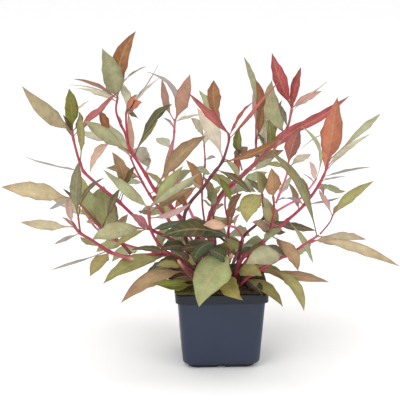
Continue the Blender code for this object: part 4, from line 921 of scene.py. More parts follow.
@dataclass(frozen=True)
class LeafFinish:
    """The blade: a tinted, mottled and veined surface with a soft waxy sheen."""

    effects: SharedEffects
    roughness: float = 0.42
    specular: float = 0.4
    vein_pairs: float = 8.0
    vein_color: Color = (196, 190, 140)
    midrib_color: Color = (196, 170, 126)
    blush_color: Color = (150, 92, 62)
    bump_height: float = 0.0006

    def material(self) -> bpy.types.Material:
        """Build the material.

        Returns:
            The material.
        """
        material, wiring, shader = new_material("leaf_blade")
        tint = wiring.put("Attribute", attribute_name="tint").outputs["Color"]
        position = wiring.put("TexCoord").outputs["Object"]
        blade = wiring.put("UVMap", uv_map="blade").outputs[0]
        veins = wiring.put("Group", {"Blade": blade, "Pairs": self.vein_pairs}, node_tree=self.effects.veins)
        blush = wiring.put("TexNoise", {"Vector": position, "Scale": 42.0, "Detail": 3.0}).outputs[0]
        blushed = wiring.blend(wiring.span(blush, 0.5, 0.78, 0.0, 0.36), tint, linear(self.blush_color))
        mottle = wiring.put("Group", {
            "Color": blushed, "Position": position, "Patch Scale": 110.0, "Patch Strength": 0.2,
            "Grain Scale": 900.0, "Grain Strength": 0.1}, node_tree=self.effects.mottle)
        veined = wiring.blend(wiring.math("MULTIPLY", veins.outputs["Veins"], 0.1), mottle.outputs["Color"],
                              linear(self.vein_color))
        ribbed = wiring.blend(wiring.math("MULTIPLY", veins.outputs["Midrib"], 0.34), veined,
                              linear(self.midrib_color))
        height = wiring.math("MULTIPLY_ADD", mottle.outputs["Grain"], 0.12, veins.outputs["Relief"])
        bump = wiring.put("Bump", {"Strength": 0.5, "Distance": self.bump_height, "Height": height})
        rough = wiring.span(mottle.outputs["Patches"], 0.0, 1.0, self.roughness - 0.08, self.roughness + 0.1)
        wiring.feed(shader, {"Base Color": ribbed, "Normal": bump.outputs[0], "Roughness": rough,
                             "Specular IOR Level": self.specular})
        return material


@dataclass(frozen=True)
class StemFinish:
    """Stem skin: tinted, with fine streaks and a slight gloss."""

    effects: SharedEffects
    roughness: float = 0.26
    specular: float = 0.5

    def material(self) -> bpy.types.Material:
        """Build the material.

        Returns:
            The material.
        """
        material, wiring, shader = new_material("stem_skin")
        tint = wiring.put("Attribute", attribute_name="tint").outputs["Color"]
        position = wiring.put("TexCoord").outputs["Object"]
        mottle = wiring.put("Group", {
            "Color": tint, "Position": position, "Patch Scale": 260.0, "Patch Strength": 0.12,
            "Grain Scale": 1400.0, "Grain Strength": 0.1}, node_tree=self.effects.mottle)
        bump = wiring.put("Bump", {"Strength": 0.35, "Distance": 0.0003, "Height": mottle.outputs["Grain"]})
        wiring.feed(shader, {"Base Color": mottle.outputs["Color"], "Normal": bump.outputs[0],
                             "Roughness": self.roughness, "Specular IOR Level": self.specular})
        return material


@dataclass(frozen=True)
class PotFinish:
    """Moulded slate-blue plastic: satin, with a darker rim, faint scuffs, dust near the top and painted shade
    on the recessed foot.
    """

    effects: SharedEffects
    body: Color = (41, 50, 70)
    rim: Color = (22, 28, 38)
    # painted shade: the recessed foot's color, darker than the body as if in shadow
    foot: Color = (26, 30, 40)
    dust: Color = (104, 98, 88)
    roughness: float = 0.42
    specular: float = 0.4
    rim_foot: float = 0.0664
    foot_top: float = 0.0038
    rim_top: float = 0.0765

    def material(self) -> bpy.types.Material:
        """Build the material.

        Returns:
            The material.
        """
        material, wiring, shader = new_material("pot_plastic")
        position = wiring.put("TexCoord").outputs["Object"]
        height = wiring.put("SeparateXYZ", {0: position}).outputs[2]
        band = wiring.span(height, self.rim_foot - 0.0003, self.rim_foot + 0.0003)
        banded = wiring.blend(band, linear(self.body), linear(self.rim))
        # painted shade: the pot's bottom, up to the foot's top, is darkened as if in shadow
        ring = wiring.span(height, self.foot_top, self.foot_top + 0.0012, 1.0, 0.0)
        base = wiring.blend(ring, banded, linear(self.foot))
        mottle = wiring.put("Group", {
            "Color": base, "Position": position, "Patch Scale": 34.0, "Patch Strength": 0.07,
            "Grain Scale": 2600.0, "Grain Strength": 0.05}, node_tree=self.effects.mottle)
        dusty = wiring.put("TexNoise", {"Vector": position, "Scale": 320.0, "Detail": 5.0,
                                        "Roughness": 0.7}).outputs[0]
        specks = wiring.span(dusty, 0.66, 0.74, 0.0, 0.28)
        top = wiring.span(height, self.rim_foot - 0.006, self.rim_top)
        share = wiring.math("MULTIPLY", specks, top)
        dusted = wiring.blend(share, mottle.outputs["Color"], linear(self.dust))
        bump = wiring.put("Bump", {"Strength": 0.3, "Distance": 0.00012, "Height": mottle.outputs["Grain"]})
        rough = wiring.span(mottle.outputs["Patches"], 0.0, 1.0, self.roughness - 0.05, self.roughness + 0.09)
        wiring.feed(shader, {"Base Color": dusted, "Normal": bump.outputs[0], "Roughness": rough,
                             "Specular IOR Level": self.specular})
        return material


@dataclass(frozen=True)
class SoilFinish:
    """Peat: dark and damp, with paler fibres and a mossy film at one side."""

    effects: SharedEffects
    name: str
    grain_scale: float = 700.0
    roughness: float = 0.9
    specular: float = 0.25

    def material(self) -> bpy.types.Material:
        """Build the material.

        Returns:
            The material.
        """
        material, wiring, shader = new_material(self.name)
        tint = wiring.put("Attribute", attribute_name="tint").outputs["Color"]
        position = wiring.put("TexCoord").outputs["Object"]
        mottle = wiring.put("Group", {
            "Color": tint, "Position": position, "Patch Scale": 160.0, "Patch Strength": 0.3,
            "Grain Scale": self.grain_scale, "Grain Strength": 0.35}, node_tree=self.effects.mottle)
        bump = wiring.put("Bump", {"Strength": 0.8, "Distance": 0.0008, "Height": mottle.outputs["Grain"]})
        wiring.feed(shader, {"Base Color": mottle.outputs["Color"], "Normal": bump.outputs[0],
                             "Roughness": self.roughness, "Specular IOR Level": self.specular})
        return material


@dataclass
class BladePattern:
    """The flat leaf that every leaf is copied from, made once.

    Its corners hold how far along the leaf they lie (0 to 1) and how far across (-1 to 1).
    """

    columns: int = 6
    stations: tuple[float, ...] = (0.0, 0.05, 0.1, 0.16, 0.24, 0.33, 0.43, 0.54, 0.65, 0.76, 0.86, 0.94, 1.0)
    thing: bpy.types.Object | None = None

    def build(self) -> None:
        """Model the pattern from a grid whose rows are slid to the stations."""
        clear_choice()
        rows = len(self.stations) - 1
        bpy.ops.mesh.primitive_grid_add(x_subdivisions=self.columns, y_subdivisions=rows, size=2.0,
                                        calc_uvs=True, location=(0.0, 0.0, 0.0))
        self.thing = bpy.context.object
        self.thing.name = "blade_pattern"
        mesh = self.thing.data
        mesh.uv_layers[0].name = "blade"
        for corner in mesh.vertices:
            row = round((corner.co.y + 1.0) / 2.0 * rows)
            corner.co.y = self.stations[row]
        for loop in mesh.loops:
            spot = mesh.vertices[loop.vertex_index].co
            mesh.uv_layers["blade"].data[loop.index].uv = ((spot.x + 1.0) / 2.0, spot.y)
        mesh.attributes.new("tint", "FLOAT_COLOR", "POINT")

    def grid(self) -> tuple[np.ndarray, np.ndarray]:
        """Read where each corner lies.

        Returns:
            The row and the across share of each corner.
        """
        mesh = self.thing.data
        places = np.array([corner.co for corner in mesh.vertices])
        rows = np.argmin(np.abs(np.array(self.stations) - places[:, 1:2]), axis=1)
        return rows, places[:, 0]

    def copy(self) -> bpy.types.Object:
        """Copy the pattern with a mesh of its own.

        Returns:
            The copy.
        """
        twin = bpy.data.objects.new("blade", self.thing.data.copy())
        bpy.context.scene.collection.objects.link(twin)
        return twin

    def remove(self) -> None:
        """Take the pattern out of the scene."""
        mesh = self.thing.data
        bpy.data.objects.remove(self.thing)
        bpy.data.meshes.remove(mesh)


@dataclass
class LeafShape:
    """One leaf's own bend, fold, waves and colors; its stalk and broad_width are in mm."""

    plan: Leaf
    base: Vector
    tip: Vector
    chance: random.Random
    fold: float = 0.16
    wave: float = 0.09
    twist: float = 0.3
    sway: float = 0.007
    ripple: float = 0.012
    end_on: float = 0.4
    mid_belly: float = 0.43
    ragged: float = 0.07
    stalk: float = 0.6
    stalk_rows: int = 3
    wave_count: tuple[float, float] = (2.2, 3.6)
    wave_spread: tuple[float, float] = (0.6, 1.5)
    fold_spread: tuple[float, float] = (0.7, 1.6)
    slim: tuple[float, ...] = (0.09, 0.09, 0.15, 0.38, 0.7, 0.92, 1.0, 0.95, 0.81, 0.6, 0.35, 0.14, 0.0)
    broad: tuple[float, ...] = (0.07, 0.08, 0.22, 0.55, 0.84, 0.98, 1.0, 0.93, 0.78, 0.57, 0.33, 0.13, 0.0)
    broad_width: float = 16.0
    foot_run: tuple[float, float] = (0.12, 0.24)
    point_start: float = 0.55
    point_share: tuple[float, float] = (0.4, 0.9)
    edge_share: tuple[float, float] = (0.3, 0.7)
    brightness: tuple[float, float] = (0.9, 1.1)
    color_shift: tuple[float, float, float] = (0.05, 0.04, 0.08)

    def frame(self) -> tuple[Vector, Vector, float]:
        """Work out the leaf's spread and bow point, and which way its face turns.

        Returns:
            The spread, the middle point of its curve and +1 or -1.
        """
        chord = self.tip - self.base
        spread = chord.cross(SHEET.away)
        end_on = spread.length < self.end_on * chord.length
        if end_on:
            spread = chord.cross(SHEET.up)
        spread.normalize()
        sense = 1.0 if spread.z >= 0.0 else -1.0
        lift = spread.cross(chord).normalized() if end_on else spread * sense
        middle = (self.base + self.tip) / 2 + lift * self.plan.bow * chord.length
        return spread, middle, sense

    def coordinates(self, pattern: BladePattern) -> tuple[np.ndarray, np.ndarray]:
        """Bend the pattern into this leaf.

        Args:
            pattern: the flat leaf.

        Returns:
            The corners in metres and their tints.
        """
        chance = self.chance
        length = (self.tip - self.base).length
        twist = chance.uniform(-self.twist, self.twist)
        sway = chance.uniform(-self.sway, self.sway) * length
        ripple = chance.uniform(-self.ripple, self.ripple) * length
        waves = chance.uniform(*self.wave_count)
        phases = (chance.uniform(0.0, math.tau), chance.uniform(0.0, math.tau))
        wave = self.wave * chance.uniform(*self.wave_spread)
        fold = self.fold * chance.uniform(*self.fold_spread)
        rows, shares = pattern.grid()
        ribs = self.ribs(pattern.stations, twist, sway, ripple)
        spots, sides, faces, halves = (np.array(part)[rows] for part in zip(*ribs))
        along = np.array(pattern.stations)[rows]
        reach = np.abs(shares)
        phase = np.where(shares > 0.0, phases[0], phases[1])
        lift_share = fold * reach ** 1.2 + wave * reach ** 2 * np.sin(math.tau * waves * along + phase)
        rough = self.ragged * np.sin(math.tau * (waves + 1.7) * along + phase * 2.0)
        rough += self.ragged * 0.6 * np.sin(math.tau * (waves * 2.0 + 2.3) * along + phase * 3.0)
        wide = shares * (1.0 + rough * reach ** 3)
        places = spots + sides * (wide * halves)[:, None] + faces * (lift_share * halves)[:, None]
        return places, self.tints(along, shares)

    def ribs(self, stations: tuple[float, ...], twist: float, sway: float,
             ripple: float) -> list[tuple[Vector, Vector, Vector, float]]:
        """Lay out the leaf's midrib with the direction and width of the blade at each station.

        Args:
            stations: how far along the leaf each row is, 0 to 1.
            twist: how far the blade turns about its midrib, in radians.
            sway: how far the midrib swings to a side, in metres.
            ripple: how far the midrib rises and dips, in metres.

        Returns:
            The spot, side, face and half width of each row.
        """
        spread, middle, sense = self.frame()
        slide = math.log(self.plan.belly) / math.log(self.mid_belly)
        outline = self.broad if self.plan.width >= self.broad_width else self.slim
        tilt = math.sqrt(1.0 - self.plan.facing ** 2)
        ribs = []
        for row, station in enumerate(stations):
            along = station ** slide
            spot = self.base * (1 - along) ** 2 + middle * 2 * along * (1 - along) + self.tip * along ** 2
            heading = ((middle - self.base) * (1 - along) + (self.tip - middle) * along).normalized()
            flat = (spread - heading * spread.dot(heading)).normalized()
            deep = flat.cross(heading) * sense
            side = flat * self.plan.facing + deep * tilt
            face = heading.cross(side)
            turn = twist * (along - 0.4)
            side, face = (side * math.cos(turn) + face * math.sin(turn),
                          face * math.cos(turn) - side * math.sin(turn))
            spot += side * sway * math.sin(math.pi * along) + face * ripple * math.sin(math.tau * along)
            stalk = self.stalk * MM * (1.0 - along) if row < self.stalk_rows else 0.0
            ribs.append((spot, side, face, max(outline[row] * self.plan.width / 2 * MM, stalk)))
        return ribs

    def tints(self, along: np.ndarray, shares: np.ndarray) -> np.ndarray:
        """Color the corners from the stalk to the tip and from the midrib to the edge, and paint shade over
        one half of the blade.

        Args:
            along: how far along the leaf each corner is.
            shares: how far across, -1 to 1.

        Returns:
            Linear colors with alpha.
        """
        tone = self.plan.tone.value
        chance = self.chance
        blade, foot, point, edge = (np.array(linear(color)) for color in
                                    (tone.blade, tone.foot, tone.point, tone.edge))
        foot_share = np.clip(1.0 - along / chance.uniform(*self.foot_run), 0.0, 1.0)[:, None]
        beyond = np.clip((along - self.point_start) / (1.0 - self.point_start), 0.0, 1.0)[:, None]
        point_share = beyond * chance.uniform(*self.point_share)
        edge_share = (np.abs(shares) ** 3)[:, None] * chance.uniform(*self.edge_share)
        tints = blade * (1 - point_share) + point * point_share
        tints = tints * (1 - edge_share) + edge * edge_share
        tints = tints * (1 - foot_share) + foot * foot_share
        # painted shade: one half of the blade, picked at random, is darkened as if it faced away from the
        # light
        shade_right_half = chance.random() < 0.5
        half_shade = np.where((shares > 0.05) == shade_right_half, tone.shaded_half, 1.0)[:, None]
        tints = tints * half_shade * chance.uniform(*self.brightness)
        red, green, blue = (chance.uniform(1.0 - part, 1.0 + part) for part in self.color_shift)
        shift = np.array([red, green, blue, 1.0])
        tints = np.clip(tints * shift, 0.0, 1.0)
        tints[:, 3] = 1.0
        return tints


@dataclass
class Shoot:
    """One stem with its leaves, in place of one CAD node."""

    plan: Stem
    node: bpy.types.Object
    pattern: BladePattern
    stem_material: bpy.types.Material
    leaf_material: bpy.types.Material
    chance: random.Random
    sample_run: float = 2.5
    blade_thickness: float = 0.35
    slim: float = 0.95
    joint_swell: float = 0.3
    joint_reach: float = 2.2
    tip_close: float = 0.55
    foot_end: float = 0.3
    top_start: float = 0.7
    streak: float = 0.22
    streak_scale: float = 220.0
    tip_slack: float = 0.00005
    swings: tuple[int, ...] = (0, 6, -6, 12, -12, 18, -18, 26, -26, 34, -34, 44, -44, 56, -56, 70, -70)
    line: list[Vector] = field(default_factory=list)
    run: list[float] = field(default_factory=list)
    bases: list[int] = field(default_factory=list)

    def build(self) -> list[bpy.types.Object]:
        """Build the stem and its leaves.

        Returns:
            The stem, and the leaves as one piece where it has any.
        """
        self.line, self.run = self.smooth_line()
        self.bases = [self.nearest(SHEET.on_route(self.plan.route, leaf.base_across, leaf.base_down))
                      for leaf in self.plan.leaves]
        return [self.build_stem()] + ([self.build_leaves()] if self.plan.leaves else [])

    def smooth_line(self) -> tuple[list[Vector], list[float]]:
        """Run a smooth line through the route.

        Returns:
            The points in metres and how far along the stem each is, 0 to 1.
        """
        spots = [SHEET.place(*spot) for spot in self.plan.route]
        spots = [spots[0] * 2 - spots[1]] + spots + [spots[-1] * 2 - spots[-2]]
        line = []
        run = []
        pieces = len(spots) - 3
        for index in range(pieces):
            before, first, second, after = spots[index:index + 4]
            steps = max(2, round((second - first).length / MM / self.sample_run))
            for step in range(steps + (1 if index == pieces - 1 else 0)):
                t = step / steps
                line.append(0.5 * (first * 2 + (second - before) * t
                                   + (before * 2 - first * 5 + second * 4 - after) * t ** 2
                                   + (first * 3 - before - second * 3 + after) * t ** 3))
                run.append((index + t) / pieces)
        return line, run

    def nearest(self, spot: Vector) -> int:
        """Return the number of the line's point that is nearest to a spot."""
        return min(range(len(self.line)), key=lambda index: (self.line[index] - spot).length_squared)

    def radius(self, index: int) -> float:
        """Find how thick the stem is, swollen where leaves grow.

        Args:
            index: the number of the line's point.

        Returns:
            The radius in mm.
        """
        plan = self.plan
        radius = plan.base_radius + (plan.tip_radius - plan.base_radius) * self.run[index]
        here = self.line[index]
        nearest = min(((self.line[base] - here).length / MM for base in self.bases), default=99.0)
        return radius * (self.slim + self.joint_swell * math.exp(-(nearest / self.joint_reach) ** 2))

    def build_stem(self) -> bpy.types.Object:
        """Make the stem as a curve with a round bevel, turned to mesh and tinted.

        Returns:
            The stem.
        """
        plan = self.plan
        curve = bpy.data.curves.new(plan.name, "CURVE")
        curve.dimensions = "3D"
        curve.bevel_depth = MM
        curve.bevel_resolution = 2
        curve.use_fill_caps = True
        last = len(self.line) - 1
        spline = curve.splines.new("POLY")
        spline.points.add(last)
        for index, spot in enumerate(self.line):
            spline.points[index].co = (*spot, 1.0)
            close = self.tip_close if index == last else 1.0
            spline.points[index].radius = self.radius(index) * close
        thing = bpy.data.objects.new(f"{plan.name}_stem", curve)
        bpy.context.scene.collection.objects.link(thing)
        choose(thing)
        bpy.ops.object.convert(target="MESH")
        clean_up(thing)
        self.tint_stem(thing.data)
        thing.data.shade_smooth()
        coat(thing, self.stem_material)
        return thing

    def tint_stem(self, mesh: bpy.types.Mesh) -> None:
        """Color the stem from the soil up, with streaks.

        Args:
            mesh: the stem's mesh.
        """
        tree = KDTree(len(self.line))
        for index, spot in enumerate(self.line):
            tree.insert(spot, index)
        tree.balance()
        skin = self.plan.skin.value
        foot, middle, top = (np.array(linear(color)) for color in (skin.foot, skin.middle, skin.top))
        rooted = self.plan.parent is None
        tints = []
        for corner in mesh.vertices:
            index = tree.find(corner.co)[1]
            run = self.run[index]
            foot_share = max(0.0, 1.0 - run / self.foot_end) if rooted else 0.0
            top_share = max(0.0, (run - self.top_start) / (1.0 - self.top_start))
            tint = middle * (1 - top_share) + top * top_share
            tint = tint * (1 - foot_share) + foot * foot_share
            tint = tint * (1.0 + self.streak * noise.noise(corner.co * self.streak_scale))
            tint[3] = 1.0
            tints.append(np.clip(tint, 0.0, 1.0))
        paint(mesh, np.array(tints))

    def leaf_tip(self, leaf: Leaf, corners: KDTree) -> Vector:
        """Find the leaf's tip among the corners of its CAD node.

        Args:
            leaf: the leaf's plan.
            corners: the CAD node's corners.

        Returns:
            The tip in metres.
        """
        tips = [SHEET.place(leaf.tip_across, leaf.tip_down, leaf.tip_depth + swing) for swing in self.swings]
        misses = [corners.find(tip)[2] for tip in tips]
        best = min(misses)
        LOG.debug("%s leaf tip %.2f mm off", self.plan.name, best / MM)
        return next(tip for tip, miss in zip(tips, misses) if miss <= best + self.tip_slack)

    def build_leaves(self) -> bpy.types.Object:
        """Copy the pattern for each leaf, bend it, and join and thicken the blades.

        Returns:
            The leaves as one piece.
        """
        corners = KDTree(len(self.node.data.vertices))
        for index, corner in enumerate(self.node.data.vertices):
            corners.insert(corner.co, index)
        corners.balance()
        blades = []
        for leaf, base in zip(self.plan.leaves, self.bases):
            tip = self.leaf_tip(leaf, corners)
            blades.append(self.blade(LeafShape(leaf, self.line[base], tip, self.chance)))
        piece = joined(f"{self.plan.name}_leaves", blades)
        clean_up(piece)
        apply_modifier(piece, "SOLIDIFY", thickness=self.blade_thickness * MM, offset=0.0)
        piece.data.shade_smooth()
        coat(piece, self.leaf_material)
        return piece

    def blade(self, shape: LeafShape) -> bpy.types.Object:
        """Copy the pattern and bend it into one leaf.

        Args:
            shape: the leaf's shape.

        Returns:
            The leaf as an object of its own.
        """
        twin = self.pattern.copy()
        places, tints = shape.coordinates(self.pattern)
        twin.data.vertices.foreach_set("co", places.astype(np.float32).ravel())
        paint(twin.data, tints)
        twin.data.update()
        return twin


@dataclass(frozen=True)
class PotPlan:
    """The rounded square that the pot and the soil follow, in mm."""

    height: float = 76.5
    rim_corner: float = 6.0
    base_corner: float = 10.0
    yaw: float = math.radians(2.7)

    def corner(self, half: float, height: float) -> float:
        """Find how round the corners are at a height.

        Args:
            half: the outline's half width.
            height: the outline's height.

        Returns:
            The corner's radius.
        """
        share = min(1.0, height / self.height)
        return min(half, self.base_corner + (self.rim_corner - self.base_corner) * share)

    def ring_spot(self, number: int, segments: int, half: float, height: float) -> tuple[float, float]:
        """Find one corner of a ring whose points all lie on the four round corners.

        Args:
            number: which point of the ring.
            segments: how many points the ring has.
            half: the ring's half width.
            height: the ring's height.

        Returns:
            The place across and along.
        """
        quarter, step = divmod(number % segments, segments // 4)
        angle = (quarter + step / (segments // 4 - 1)) * math.pi / 2
        rounding = self.corner(half, height)
        across = half - rounding if quarter in (0, 3) else rounding - half
        along = half - rounding if quarter in (0, 1) else rounding - half
        return across + rounding * math.cos(angle), along + rounding * math.sin(angle)

    def reach(self, angle: float, half: float, height: float) -> float:
        """Find how far the outline is from the middle in one direction.

        Args:
            angle: the direction.
            half: the outline's half width.
            height: the outline's height.

        Returns:
            The distance.
        """
        first, second = sorted((abs(math.cos(angle)), abs(math.sin(angle))))
        rounding = self.corner(half, height)
        flat = half - rounding
        if half * first / second <= flat:
            return half / second
        both = flat * (first + second)
        return both + math.sqrt(both ** 2 - 2 * flat ** 2 + rounding ** 2)

    def turn(self, piece: bpy.types.Object) -> None:
        """Yaw a finished piece."""
        piece.data.transform(Matrix.Rotation(self.yaw, 4, "Z"))


POT_PLAN = PotPlan()


def drawn_up(name: str, profile: list[tuple[float, float]], segments: int) -> bpy.types.Object:
    """Draw a round ring up a profile.

    Args:
        name: the piece's name.
        profile: half width and height in mm of each ring, from the underside's edge on.
        segments: the ring's number of sides.

    Returns:
        The object, closed at both ends.
    """
    clear_choice()
    radius, height = profile[0]
    bpy.ops.mesh.primitive_circle_add(vertices=segments, radius=radius * MM, fill_type="NGON",
                                      location=(0.0, 0.0, 0.0))
    thing = bpy.context.object
    thing.name = name
    bpy.ops.object.mode_set(mode="EDIT")
    bpy.ops.mesh.select_all(action="SELECT")
    bpy.ops.transform.translate(value=(0.0, 0.0, height * MM))
    bpy.ops.mesh.select_mode(type="EDGE")
    bpy.ops.mesh.select_all(action="SELECT")
    for next_radius, next_height in profile[1:]:
        bpy.ops.mesh.extrude_edges_move(
            TRANSFORM_OT_translate={"value": (0.0, 0.0, (next_height - height) * MM)})
        share = next_radius / radius
        bpy.ops.transform.resize(value=(share, share, 1.0), center_override=(0.0, 0.0, 0.0))
        radius, height = next_radius, next_height
    bpy.ops.mesh.edge_face_add()
    bpy.ops.object.mode_set(mode="OBJECT")
    return thing


@dataclass
class Pot:
    """The square nursery pot, in mm."""

    material: bpy.types.Material
    rim_width: float = 89.0
    rim_band: float = 9.0
    rim_wall: float = 1.7
    band_step: float = 1.2
    top_width: float = 83.3
    base_width: float = 75.0
    base_height: float = 9.0
    wall: float = 1.4
    floor: float = 1.6
    ledge: float = 5.2
    foot_width: float = 64.6
    foot_wall: float = 1.6
    foot_height: float = 3.6
    segments: int = 96
    notch: tuple[float, float, float] = (7.8, 7.0, 2.9)
    notch_round: float = 0.8
    crease: float = math.radians(40.0)

    def profile(self) -> list[tuple[float, float]]:
        """Lay out the section of the pot's wall.

        Returns:
            Half width and height of each ring, up the outside and down the inside.
        """
        rim = self.rim_width / 2
        top = self.top_width / 2
        base = self.base_width / 2
        foot = self.foot_width / 2
        height = POT_PLAN.height
        band_foot = height - self.rim_band
        shoulder = band_foot - self.band_step
        return [
            (foot - 0.4, 0.0), (foot, 0.4), (foot, self.foot_height),
            (base - 2.6, self.foot_height), (base - 1.9, self.foot_height + 0.2),
            (base - 1.1, self.foot_height + 0.9), (base - 0.5, self.foot_height + 2.0),
            (base - 0.15, self.foot_height + 3.6), (base, self.base_height),
            (base + (top - base) * 0.5, (self.base_height + shoulder) * 0.5), (top - 0.1, shoulder - 1.0),
            (top, shoulder), (top + 0.1, band_foot - 0.35), (rim - 0.8, band_foot - 0.1),
            (rim - 0.25, band_foot + 0.15), (rim, band_foot + 0.7), (rim, height - 1.1),
            (rim - 0.15, height - 0.4), (rim - 0.5, height - 0.05), (rim - 0.9, height),
            (rim - self.rim_wall + 0.2, height - 0.1), (rim - self.rim_wall, height - 0.5),
            (rim - self.rim_wall, band_foot + self.wall), (top - self.wall, shoulder),
            (base - self.wall, self.base_height), (foot - self.foot_wall, self.ledge),
            (foot - self.foot_wall, self.floor),
        ]

    def build(self) -> list[bpy.types.Object]:
        """Draw the wall up, square its rings and cut the drain notches.

        Returns:
            The pot.
        """
        pot = drawn_up("pot_shell", self.profile(), self.segments)
        for corner in pot.data.vertices:
            number = round(math.atan2(corner.co.y, corner.co.x) / math.tau * self.segments)
            half = math.hypot(corner.co.x, corner.co.y) / MM
            across, along = POT_PLAN.ring_spot(number, self.segments, half, corner.co.z / MM)
            corner.co.x, corner.co.y = across * MM, along * MM
        clean_up(pot)
        for turn in range(4):
            self.cut_notch(pot, turn * math.pi / 2)
        POT_PLAN.turn(pot)
        pot.data.shade_smooth()
        choose(pot)
        bpy.ops.object.shade_smooth_by_angle(angle=self.crease)
        coat(pot, self.material)
        return [pot]

    def cut_notch(self, pot: bpy.types.Object, angle: float) -> None:
        """Cut one drain notch into the foot.

        Args:
            pot: the pot.
            angle: where the notch is, round the pot.
        """
        clear_choice()
        wide, deep, high = self.notch
        reach = (self.foot_width - self.foot_wall) / 2 * MM
        spot = (math.sin(angle) * reach, -math.cos(angle) * reach, 0.0)
        bpy.ops.mesh.primitive_cube_add(size=1.0, location=spot, rotation=(0.0, 0.0, angle),
                                        scale=(wide * MM, deep * MM, 2 * high * MM))
        tool = bpy.context.object
        apply_modifier(tool, "BEVEL", width=self.notch_round * MM, segments=3)
        apply_modifier(pot, "BOOLEAN", operation="DIFFERENCE", solver="EXACT", object=tool)
        bpy.data.objects.remove(tool)


@dataclass
class Soil:
    """The peat that fills the pot, with its crumbs and fibres, in mm."""

    bed_material: bpy.types.Material
    crumb_material: bpy.types.Material
    chance: random.Random
    half: float = 44.45
    edge: float = 82.0
    crown: float = 4.5
    stand_foot: float = 76.9
    stand_step: float = 0.9
    inside: tuple[tuple[float, float], ...] = ((30.3, 2.0), (30.3, 5.5), (35.7, 9.2), (39.9, 66.6),
                                               (42.45, 69.3))
    rim_level: float = 0.2
    bulge: float = 1.2
    shoulder: float = 1.3
    dome: float = 2.2
    lumps: tuple[tuple[float, float], ...] = ((160.0, 0.9), (420.0, 0.6), (1100.0, 0.3))
    rings: int = 24
    segments: int = 144
    crumbs: int = 760
    fibres: int = 150
    fibre_steps: int = 4
    scatter_reach: float = 0.97
    fibre_reach: float = 0.96
    peat: Color = (70, 54, 32)
    dark: Color = (36, 26, 18)
    pale: Color = (118, 98, 64)
    moss: Color = (82, 80, 38)
    moss_start: float = 4.0
    moss_run: float = 12.0
    moss_share: float = 0.75

    def share(self, across: float, along: float) -> float:
        """Find how near a place is to the bed's edge.

        Args:
            across: metres from the middle.
            along: metres from the middle.

        Returns:
            0 at the middle, 1 on the edge.
        """
        angle = math.atan2(along, across)
        return min(1.0, math.hypot(across, along) / (POT_PLAN.reach(angle, self.half, self.edge) * MM))

    def rise(self, across: float, along: float) -> float:
        """Find the height of the bed.

        Args:
            across: metres from the middle.
            along: metres from the middle.

        Returns:
            The height in metres.
        """
        share = self.share(across, along)
        smooth = self.edge * MM + self.crown * MM * (1.0 - share ** self.dome)
        smooth -= self.shoulder * MM * max(0.0, (share - 0.9) / 0.1) ** 2
        spot = Vector((across, along, 0.0))
        return smooth + sum(noise.noise(spot * scale) * height for scale, height in self.lumps) * MM

    def build(self) -> list[bpy.types.Object]:
        """Build the bed, the crumbs and the fibres and return them."""
        return [self.build_bed(), self.build_crumbs(), self.build_fibres()]

    def bed_tint(self, spot: Vector) -> np.ndarray:
        """Mix the bed's color: peat, darker hollows, and moss at the left.

        Args:
            spot: a place on the bed in metres.

        Returns:
            A linear color with alpha.
        """
        peat, dark, moss = (np.array(linear(color)) for color in (self.peat, self.dark, self.moss))
        share = min(1.0, max(0.0, 0.5 + noise.noise(spot * 260.0) * 1.4))
        tint = peat * share + dark * (1.0 - share)
        left = (-spot.x - self.moss_start * MM) / (self.moss_run * MM) + noise.noise(spot * 90.0) * 0.8
        mossy = min(1.0, max(0.0, left)) * self.moss_share
        tint = tint * (1.0 - mossy) + moss * mossy
        tint[3] = 1.0
        return tint

    def profile(self) -> list[tuple[float, float]]:
        """Lay out the bed's section before its top is raised.

        Returns:
            Half width and height of each ring: inside the pot, over the rim, then across the top.
        """
        inner_rim = self.inside[-1][0]
        profile = [*self.inside, (inner_rim, self.stand_foot - 0.1), (inner_rim + 0.6, self.stand_foot)]
        profile += [(self.half, self.stand_foot + 0.4 + step * self.stand_step) for step in range(6)]
        return profile + [(self.half * (1.0 - ring / self.rings), self.edge) for ring in range(self.rings)]

    def build_bed(self) -> bpy.types.Object:
        """Build the domed bed of peat.

        Returns:
            The bed.
        """
        bed = drawn_up("soil_bed", self.profile(), self.segments)
        for corner in bed.data.vertices:
            angle = math.atan2(corner.co.y, corner.co.x)
            half = math.hypot(corner.co.x, corner.co.y) / MM
            height = corner.co.z / MM
            share = POT_PLAN.reach(angle, half, height) / half if half > 0.01 else 1.0
            if self.stand_foot < height < self.edge - self.rim_level:
                rough = noise.noise(corner.co * 260.0) * 0.7 + noise.noise(corner.co * 800.0) * 0.5
                left = max(0.0, -math.cos(angle)) * self.bulge
                brim = self.rise(corner.co.x * share, corner.co.y * share) / MM
                raised = (height - self.stand_foot) / (self.edge - self.stand_foot)
                corner.co.z = (self.stand_foot + raised * (brim - self.stand_foot)) * MM
                share *= 1.0 + (rough + left) * min(1.0, raised * 3.0) / self.half
            corner.co.x *= share
            corner.co.y *= share
            if height > self.edge - self.rim_level:
                corner.co.z = self.rise(corner.co.x, corner.co.y)
        clean_up(bed)
        POT_PLAN.turn(bed)
        paint(bed.data, np.array([self.bed_tint(corner.co) for corner in bed.data.vertices]))
        bed.data.shade_smooth()
        coat(bed, self.bed_material)
        return bed

    def scatter_spot(self) -> Vector:
        """Pick a place on the bed.

        Returns:
            The place in metres.
        """
        while True:
            across = self.chance.uniform(-1.0, 1.0) * self.half * MM * self.scatter_reach
            along = self.chance.uniform(-1.0, 1.0) * self.half * MM * self.scatter_reach
            if self.share(across, along) < self.scatter_reach:
                return Vector((across, along, self.rise(across, along)))

